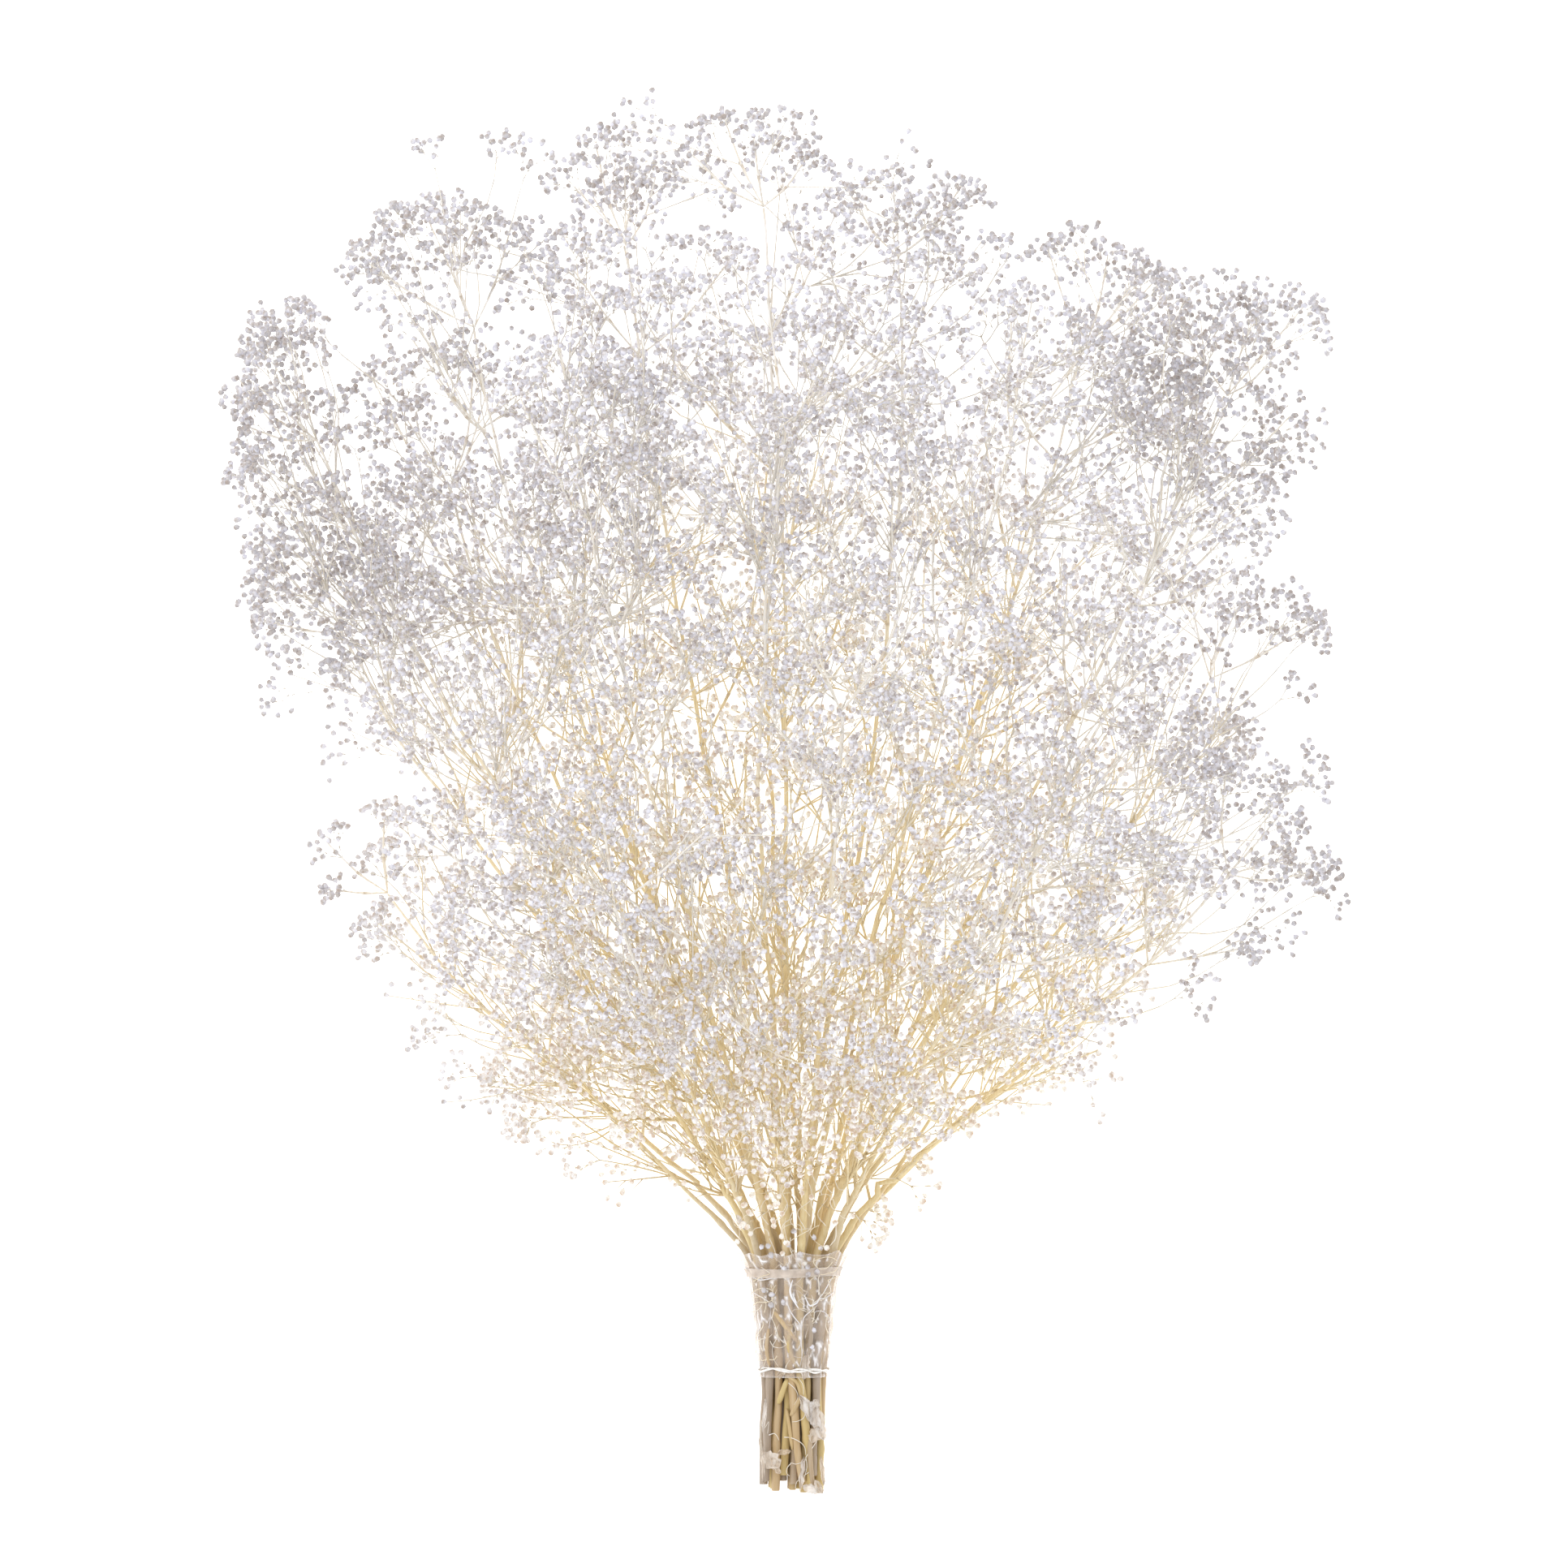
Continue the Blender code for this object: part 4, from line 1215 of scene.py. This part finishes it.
def make_film(stems, film):
    """Crinkled clear film, with white painted highlights along its folds, its creases and its two edges."""
    rings, tints = [], []
    turns = math.tau * np.arange(FILM_AROUND) / FILM_AROUND
    for row in range(FILM_ALONG + 1):
        share = row / FILM_ALONG
        y = FILM_START_Y + (FILM_TOP - FILM_START_Y) * share
        ring = wrap_ring(stems, y, FILM_LIFT, FILM_AROUND)
        outward = units((ring - ring.mean(axis=0)) * (1.0, 0.0, 1.0))
        bump, painted_highlight, ragged = [], [], []
        for turn in turns:
            spot = Vector((2.2 * math.cos(turn), 45.0 * y, 2.2 * math.sin(turn)))
            fold = noise.noise(spot * 1.9 + Vector((4.1, 0.0, 0.0)))
            fine = noise.noise(spot * 4.3)
            bump.append(FILM_FOLD * abs(fold) + FILM_GRAIN * fine)
            # painted highlight: white along the folds' creases
            painted_highlight.append(max(0.0, 1 - 9 * abs(fold + 0.25 * fine)))
            ragged.append(noise.noise(Vector((3 * math.cos(turn), 3 * math.sin(turn), 9.0))))
        pinch = 1 - 0.85 * math.exp(-(((y - BAND_Y) / BAND_PINCH) ** 2))
        bump = np.maximum(0.0, np.array(bump)) * pinch
        ring = ring + bump[:, None] * outward
        ring[:, 1] += FILM_FRAY * share**8 * np.array(ragged)
        ring[:, 2] = np.maximum(ring[:, 2], 0.0006)
        rings.append(ring)
        # painted highlight along the film's two edges
        film_edge_highlight = 0.5 if row in (0, FILM_ALONG) else 0.0
        painted_highlight = np.maximum(painted_highlight, film_edge_highlight)
        tints.append(np.stack([painted_highlight, np.full(FILM_AROUND, share), bump / FILM_FOLD], -1))
    sleeve(film, np.array(rings), FILM_SHEET, np.array(tints))
    # painted highlights: white tubes laid on the film along its creases
    for width, white, line in CREASE_HIGHLIGHTS:
        path = on_top(stems, line, 0.0)
        heights = [film_top(rings, x, y) for x, y, _ in path]
        path[:, 2] = np.array(heights) + 0.00012
        radii = 0.0014 * width * np.sin(np.linspace(0.25, math.pi - 0.25, len(path)))
        places, faces = tubes(path[None], radii[None], 6)
        film.add(places, faces, (0.4 + 0.6 * white, 0.5, 1.0))


def film_top(rings, x, y):
    """Height of the film's upper side at (x, y)."""
    rows = [ring[0, 1] for ring in rings]
    ring = rings[int(np.argmin([abs(row - y) for row in rows]))]
    upper = ring[ring[:, 2] > ring[:, 2].mean()]
    return float(np.interp(x, np.sort(upper[:, 0]), upper[np.argsort(upper[:, 0]), 2]))


def make_tape(stems, tape):
    """A milky strip of tape round the film, a little askew."""
    rings, tints = [], []
    turns = math.tau * np.arange(FILM_AROUND) / FILM_AROUND
    for share in TAPE_SHARES:
        y = TAPE_EDGES[0] + TAPE_WIDTH * share
        ring = wrap_ring(stems, y, TAPE_LIFT, FILM_AROUND)
        ring[:, 1] += 0.0005 * np.sin(turns) + 0.00025 * np.sin(3 * turns + 1)
        ring[:, 2] = np.maximum(ring[:, 2], 0.0003)
        rings.append(ring)
        # painted highlight along the tape's two edges
        edge = float(abs(share - 0.5) > 0.45)
        tints.append(np.broadcast_to((edge, share, 0.0), ring.shape))
    sleeve(tape, np.array(rings), TAPE_SHEET, np.array(tints))


def make_band(stems, band):
    """A twisted, doubled elastic of three strands that part and cross."""
    base = wrap_ring(stems, BAND_Y, BAND_LOW - BAND_RADIUS, BAND_AROUND)
    outward = units((base - base.mean(axis=0)) * (1.0, 0.0, 1.0))
    turns = math.tau * np.arange(BAND_AROUND) / BAND_AROUND
    for strand, (radius, spread, pull) in enumerate(STRANDS):
        phase = turns * pull + 2.1 * strand
        line = base.copy()
        line[:, 1] += spread * np.sin(phase) + 0.0005 * np.sin(2 * turns + 0.8)
        line += (0.00042 * np.cos(phase))[:, None] * outward
        line[:, 2] = np.maximum(line[:, 2], radius + 0.0002)
        line = np.vstack([line, line[:3]])
        radii = radius * (1 + 0.18 * np.sin(11 * np.append(turns, turns[:3])))
        places, faces = tubes(line[None], radii[None], 8)
        band.add(places, faces, (strand / 2, 0.5, 0.0))


def make_scrap(leaf, stems, row, seed):
    """A thin, curled scrap of leaf with a ragged edge."""
    x, y, length, width, _, curl = (value / 1000 for value in row)
    turn = math.radians(row[4])
    along = np.array([math.cos(turn), math.sin(turn), 0.0])
    across = np.array([-math.sin(turn), math.cos(turn), 0.0])
    long, wide = SCRAP_LONG, SCRAP_WIDE
    upper = []
    for i in range(long):
        u = i / (long - 1) - 0.5
        for j in range(wide):
            v = j / (wide - 1) - 0.5
            ragged = 1 + 0.7 * noise.noise(Vector((7 * u, 2.0 * np.sign(v), seed * 3.3)))
            half = width * max(0.03, 1 - abs(2 * u) ** 2.6) ** 0.8 * ragged
            reach = length * u * (1 + 0.10 * noise.noise(Vector((6 * v, seed, 0.0))))
            flat = along * reach + across * (half * v)
            place = np.array([x, y, 0.0]) + flat
            fold = noise.noise(Vector((3 * u, 6 * v, seed * 1.7)))
            pleat = abs(math.sin(8 * v + 3 * u))
            rise = curl * (0.3 + 2.2 * v * v) + 0.0011 * fold + 0.0006 * pleat
            below = top_of(stems, place[0], min(max(place[1], -0.108), 0.05))
            place[2] = below + 0.0004 + max(0.0, rise)
            upper.append(place)
    upper = np.array(upper)
    places = np.vstack([upper, upper - (0, 0, SCRAP_SHEET)])
    faces = []
    count = long * wide
    for i in range(long - 1):
        for j in range(wide - 1):
            a = i * wide + j
            b, c, d = a + 1, a + wide, a + wide + 1
            faces += [(a, c, d), (a, d, b)]
            faces += [(a + count, d + count, c + count), (a + count, b + count, d + count)]
    foot = (long - 1) * wide
    border = [i * wide for i in range(long)] + [foot + j for j in range(1, wide)]
    border += [i * wide + wide - 1 for i in range(long - 2, -1, -1)] + list(range(wide - 2, 0, -1))
    for a, b in zip(border, border[1:] + border[:1]):
        faces += [(a, a + count, b + count), (a, b + count, b)]
    spread = np.tile(np.linspace(0, 1, wide), 2 * long)
    kind = np.full(2 * count, (0.37 * seed) % 1.0)
    length_share = np.repeat(np.linspace(0, 1, 2 * long), wide)
    leaf.add(places, np.array(faces), np.stack([spread, kind, length_share], -1))


def add_curl(stems, woods, petals, chance):
    """A thin curling stalk low in the bunch, often with a bud at its end."""
    y = chance.uniform(-0.044, 0.085)
    half = 0.0165 + 0.0075 * fade(-0.04, 0.0, y) + 0.40 * max(0.0, y - 0.005)
    place = np.array([chance.uniform(-half, half), y])
    angle = chance.uniform(0.3, math.pi - 0.3) * chance.choice((-1, 1))
    bend = chance.uniform(-0.55, 0.55)
    line = [1000 * place]
    for _ in range(int(chance.integers(4, 7))):
        place = place + chance.uniform(0.0018, 0.0038) * np.array([math.cos(angle), math.sin(angle)])
        place[0] = min(max(place[0], -half), half)
        angle += bend + chance.normal(0, 0.35)
        line.append(1000 * place)
    free = y > 0.012
    path = on_top(stems, line, 0.0003)
    path[:, 2] += free * chance.uniform(0.0, 0.010) * np.linspace(0.0, 1.0, len(path)) ** 0.7
    radii = chance.uniform(0.00016, 0.00026) * np.linspace(1.1, 0.7, len(path))
    places, faces = tubes(path[None], radii[None], 4)
    owner = nearest_stem(stems, path[0])
    woods[owner].add(places, faces, (chance.uniform(0.45, 0.95), 0.0, 0.0, 0.5))
    if chance.random() < (0.65 if free else 0.2):
        add_buds(petals[owner], path[-1:], units(path[-1:] - path[-2:-1]), chance)


def dress_bundle(stems, woods, petals, chance):
    """Loose fibres, broken stems, curling stalks and stray buds on the bundle."""
    for radius, line in FIBRES:
        path = on_top(stems, line, 0.0002 + 0.001 * radius)
        radii = 0.001 * radius * np.linspace(1.0, 0.6, len(path))
        places, faces = tubes(path[None], radii[None], 5)
        owner = nearest_stem(stems, path[0])
        woods[owner].add(places, faces, (0.92, 0.0, 0.0, 1.0))
    for radius, pale, line in LOOSE:
        path = on_top(stems, line, 0.0)
        path[:, 2] -= 0.0009 * np.abs(np.linspace(-1.0, 1.0, len(path))) ** 3
        radii = 0.001 * radius * (1 - 0.45 * np.abs(np.linspace(-1.0, 1.0, len(path))) ** 6)
        places, faces = tubes(path[None], radii[None], 8)
        owner = nearest_stem(stems, path[0])
        woods[owner].add(places, faces, stem_tints(places, 0.0, pale, (2.7 * radius) % 1.0))
    for _ in range(CURLS):
        add_curl(stems, woods, petals, chance)
    for x, y in STRAY_BUDS:
        place = np.array([[x / 1000, y / 1000, 0.0]])
        place[0, 2] = top_of(stems, *place[0, :2]) + 0.0008
        owner = nearest_stem(stems, place[0])
        add_buds(petals[owner], place, chance.normal(size=(1, 3)) * (1, 1, 0.2), chance, 0.0)


# Materials


def principled(name, roughness):
    material = bpy.data.materials.new(name)
    material.use_nodes = True
    material.cycles.emission_sampling = "NONE"
    shader = material.node_tree.nodes["Principled BSDF"]
    shader.inputs["Roughness"].default_value = roughness
    return material, material.node_tree, shader


def add_node(tree, kind, **values):
    made = tree.nodes.new(kind)
    for name, value in values.items():
        setattr(made, name, value)
    return made


def tint_channels(tree):
    attribute = add_node(tree, "ShaderNodeAttribute", attribute_name="tint")
    split = add_node(tree, "ShaderNodeSeparateColor")
    tree.links.new(attribute.outputs["Color"], split.inputs["Color"])
    return split.outputs


def mixed(tree, factor, first, second, blend="MIX"):
    """A colour mix. Each of the three inputs is a socket or a plain value."""
    mix = add_node(tree, "ShaderNodeMix", data_type="RGBA", blend_type=blend)
    for socket, value in ((mix.inputs[0], factor), (mix.inputs[6], first), (mix.inputs[7], second)):
        if isinstance(value, bpy.types.NodeSocket):
            tree.links.new(value, socket)
        elif isinstance(value, tuple):
            socket.default_value = (*value, 1.0)
        else:
            socket.default_value = value
    return mix.outputs[2]


def ranged(tree, value, low, high, to_low, to_high):
    ranging = add_node(tree, "ShaderNodeMapRange")
    tree.links.new(value, ranging.inputs["Value"])
    for name, number in zip(("From Min", "From Max", "To Min", "To Max"), (low, high, to_low, to_high)):
        ranging.inputs[name].default_value = number
    return ranging.outputs["Result"]


def joined(tree, operation, first, second):
    maths = add_node(tree, "ShaderNodeMath", operation=operation)
    tree.links.new(first, maths.inputs[0])
    tree.links.new(second, maths.inputs[1])
    return maths.outputs["Value"]


def paint(tree, shader, colour, painted_glow=None):
    """The colour of the surface, and a painted glow in the same colour where one is given."""
    tree.links.new(colour, shader.inputs["Base Color"])
    if painted_glow:
        tree.links.new(colour, shader.inputs["Emission Color"])
        tree.links.new(painted_glow, shader.inputs["Emission Strength"])


def noise_of(tree, scale, detail, stretch=(1.0, 1.0, 1.0)):
    place = add_node(tree, "ShaderNodeTexCoord")
    mapping = add_node(tree, "ShaderNodeMapping")
    mapping.inputs["Scale"].default_value = stretch
    texture = add_node(tree, "ShaderNodeTexNoise")
    texture.inputs["Scale"].default_value = scale
    texture.inputs["Detail"].default_value = detail
    tree.links.new(place.outputs["Object"], mapping.inputs["Vector"])
    tree.links.new(mapping.outputs["Vector"], texture.inputs["Vector"])
    return texture.outputs["Fac"]


def add_bump(tree, shader, height, strength, distance):
    bump = add_node(tree, "ShaderNodeBump")
    bump.inputs["Strength"].default_value = strength
    bump.inputs["Distance"].default_value = distance
    tree.links.new(height, bump.inputs["Height"])
    tree.links.new(bump.outputs["Normal"], shader.inputs["Normal"])


def stem_material():
    material, tree, shader = principled("dry_stem", 0.62)
    tint = tint_channels(tree)
    # golden inside, bleached outside: partly the stems' own colour, partly a painted warm glow
    golden = (0.87, 0.75, 0.485)
    bleached = (0.84, 0.82, 0.79)
    colour = mixed(tree, tint["Red"], golden, bleached)
    kind = add_node(tree, "ShaderNodeAttribute", attribute_name="tint").outputs["Alpha"]
    second, third = ranged(tree, kind, 0.30, 0.45, 0.0, 1.0), ranged(tree, kind, 0.62, 0.80, 0.0, 1.0)
    butt = mixed(tree, second, (0.40, 0.33, 0.27), (0.56, 0.42, 0.25))
    butt = mixed(tree, third, butt, (0.60, 0.47, 0.22))
    colour = mixed(tree, tint["Green"], colour, butt)
    streaks = noise_of(tree, 30.0, 4.0, (26.0, 1.0, 26.0))
    dark = ranged(tree, streaks, 0.35, 0.70, 0.0, 0.55)
    colour = mixed(tree, dark, colour, (0.80, 0.68, 0.46), "MULTIPLY")
    knot = ranged(tree, tint["Blue"], 0.5, 1.0, 0.0, 0.6)
    colour = mixed(tree, knot, colour, (0.42, 0.30, 0.18))
    # painted glow: the stems give off light in their own colour, none at the brown cut ends
    paint(tree, shader, colour, ranged(tree, tint["Green"], 0.0, 1.0, PAINTED_GLOW, 0.0))
    add_bump(tree, shader, streaks, 0.35, 0.0003)
    return material


def bud_material():
    material, tree, shader = principled("dry_petal", 0.78)
    tint = tint_channels(tree)
    # cream buds inside the head: partly their own colour, partly a painted warm glow
    cream = (0.87, 0.85, 0.81)
    # painted light: buds with little tone and painted shade, most of all over the heart, are painted whiter
    white = ranged(tree, tint["Green"], 0.06, 0.34, 1.0, 0.0)
    lilac = mixed(tree, white, (0.76, 0.76, 0.86), (0.88, 0.89, 0.99))
    warm = mixed(tree, white, (0.715, 0.695, 0.69), (0.88, 0.86, 0.87))
    body = mixed(tree, ranged(tree, tint["Red"], 0.15, 0.80, 0.0, 0.75), lilac, warm)
    colour = mixed(tree, tint["Blue"], body, cream)
    # painted shade: buds round the rim of the head turn grey, as do some random darker buds
    grey_and_painted_shade = (0.36, 0.33, 0.31)
    colour = mixed(tree, ranged(tree, tint["Green"], 0.45, 1.0, 0.0, 0.65), colour, grey_and_painted_shade)
    blotch = noise_of(tree, 420.0, 2.0)
    mouth = ranged(tree, tint["Red"], 0.45, 0.95, 0.0, 0.85)
    spots = ranged(tree, blotch, 0.36, 0.56, 0.15, 1.0)
    end = mixed(tree, tint["Blue"], (0.33, 0.26, 0.22), (0.52, 0.35, 0.22))
    colour = mixed(tree, joined(tree, "MULTIPLY", mouth, spots), colour, end)
    # painted glow: the buds give off light in their own colour, most for the cream buds inside the head
    paint(tree, shader, colour, ranged(tree, tint["Blue"], 0.0, 0.7, 0.03, INNER_PAINTED_GLOW))
    add_bump(tree, shader, noise_of(tree, 1500.0, 2.0), 0.3, 0.0002)
    return material


def film_material():
    material, tree, shader = principled("clear_film_creased_painted_highlights", 0.22)
    tint = tint_channels(tree)
    cloud = noise_of(tree, 160.0, 3.0)
    haze = ranged(tree, cloud, 0.3, 0.75, 0.10, 0.34)
    # painted highlight: nearly opaque white film along its creases, folds and edges
    painted_crease_highlight = ranged(tree, tint["Red"], 0.15, 1.0, 0.0, 0.92)
    tree.links.new(joined(tree, "MAXIMUM", haze, painted_crease_highlight), shader.inputs["Alpha"])
    paint(tree, shader, mixed(tree, tint["Red"], (0.75, 0.63, 0.53), (0.97, 0.97, 1.0)))
    add_bump(tree, shader, noise_of(tree, 500.0, 3.0), 0.4, 0.0004)
    return material


def tape_material():
    material, tree, shader = principled("milky_tape", 0.48)
    tint = tint_channels(tree)
    cloud = noise_of(tree, 240.0, 3.0)
    # painted highlight: the tape lighter at its two edges
    milk, edge = ranged(tree, cloud, 0.3, 0.7, 0.0, 1.0), ranged(tree, tint["Red"], 0.4, 1.0, 0.0, 0.7)
    colour = mixed(tree, milk, (0.70, 0.60, 0.52), (0.80, 0.71, 0.63))
    paint(tree, shader, mixed(tree, edge, colour, (0.90, 0.87, 0.84)))
    tree.links.new(ranged(tree, cloud, 0.3, 0.7, 0.48, 0.72), shader.inputs["Alpha"])
    add_bump(tree, shader, cloud, 0.3, 0.0003)
    return material


def band_material():
    material, tree, shader = principled("white_elastic", 0.42)
    cloud = noise_of(tree, 700.0, 2.0)
    worn = ranged(tree, cloud, 0.35, 0.7, 0.0, 1.0)
    paint(tree, shader, mixed(tree, worn, (0.95, 0.95, 0.94), (0.80, 0.77, 0.73)))
    add_bump(tree, shader, cloud, 0.5, 0.0002)
    return material


def leaf_material():
    material, tree, shader = principled("bleached_leaf", 0.7)
    tint = tint_channels(tree)
    veins = noise_of(tree, 420.0, 3.0, (1.0, 0.22, 1.0))
    colour = mixed(tree, tint["Green"], (0.88, 0.84, 0.81), (0.80, 0.68, 0.54))
    vein = ranged(tree, veins, 0.45, 0.7, 0.0, 0.6)
    paint(tree, shader, mixed(tree, vein, colour, (0.55, 0.44, 0.33)))
    tree.links.new(ranged(tree, veins, 0.35, 0.65, 0.80, 0.45), shader.inputs["Alpha"])
    add_bump(tree, shader, veins, 0.6, 0.0005)
    return material


# The whole


def main():
    noise.seed_set(SEED)  # without it noise_vector starts from the clock
    stems = grow()
    straw = stem_material()
    petal = bud_material()
    woods = [Shape() for _ in stems]
    petals = [Shape() for _ in stems]
    for owner, limbs in enumerate(stems):
        chance = np.random.default_rng(STEM_SEED + owner)
        dress_stem(limbs, woods[owner], petals[owner], chance)
    grow_sprays(stems, woods, petals, np.random.default_rng(SPRAY_SEED))
    grow_twiglets(stems, woods, petals, np.random.default_rng(TWIGLET_SEED))
    dress_bundle(stems, woods, petals, np.random.default_rng(BUNDLE_SEED))
    for owner in range(len(stems)):
        name = f"stem_{owner + 1:02d}"
        woods[owner].piece(f"{name}_branches", straw, "stem", name)
        petals[owner].piece(f"{name}_buds", petal, "bud")
    wraps = (
        ("film_creased", make_film, film_material(), "film", "film_sleeve"),
        ("tape_milky", make_tape, tape_material(), "tape", "tape_strip"),
        ("elastic_twisted", make_band, band_material(), "band", "elastic_band"),
    )
    for name, make, material, slot, node in wraps:
        shape = Shape()
        make(stems, shape)
        shape.piece(name, material, slot, node, crisp=True)
    leaf = Shape()
    for seed, row in enumerate(SCRAPS):
        make_scrap(leaf, stems, row, seed)
    leaf.piece("leaf_scraps", leaf_material(), "leaf", crisp=True)


def set_stage():
    """White floor, soft light from all round and a long lens straight above."""
    scene = bpy.context.scene
    world = bpy.data.worlds.new("studio")
    world.use_nodes = True
    background = world.node_tree.nodes["Background"]
    background.inputs["Color"].default_value = (1.0, 1.0, 1.0, 1.0)
    background.inputs["Strength"].default_value = 1.0
    scene.world = world
    mesh = bpy.data.meshes.new("floor")
    corners = [(x * FLOOR_HALF, y * FLOOR_HALF, FLOOR_Z) for x, y in ((-1, -1), (1, -1), (1, 1), (-1, 1))]
    mesh.from_pydata(corners, [], [(0, 1, 2, 3)])
    floor = placed("floor", mesh)
    material, _, shader = principled("white_floor", 0.9)
    shader.inputs["Base Color"].default_value = (0.9, 0.9, 0.9, 1.0)
    shader.inputs["Emission Color"].default_value = (1.0, 1.0, 1.0, 1.0)
    shader.inputs["Emission Strength"].default_value = 0.8
    mesh.materials.append(material)
    lamp = bpy.data.lights.new("key", "AREA")
    lamp.energy = 14.0
    lamp.size = 1.6
    key = placed("key", lamp)
    key.location = (-0.9, 1.0, 1.9)
    aim = Vector((0.0, 0.24, 0.1)) - key.location
    key.rotation_euler = aim.to_track_quat("-Z", "Y").to_euler()
    lens = bpy.data.cameras.new("camera")
    lens.sensor_width = SENSOR
    lens.lens = SENSOR * CAMERA_AWAY / VIEW_SIDE
    lens.clip_end = 100.0
    camera = placed("camera", lens)
    camera.location = (*VIEW_CENTRE[:2], VIEW_CENTRE[2] + CAMERA_AWAY)
    scene.camera = camera
    scene.view_settings.view_transform = "Standard"


main()
set_stage()
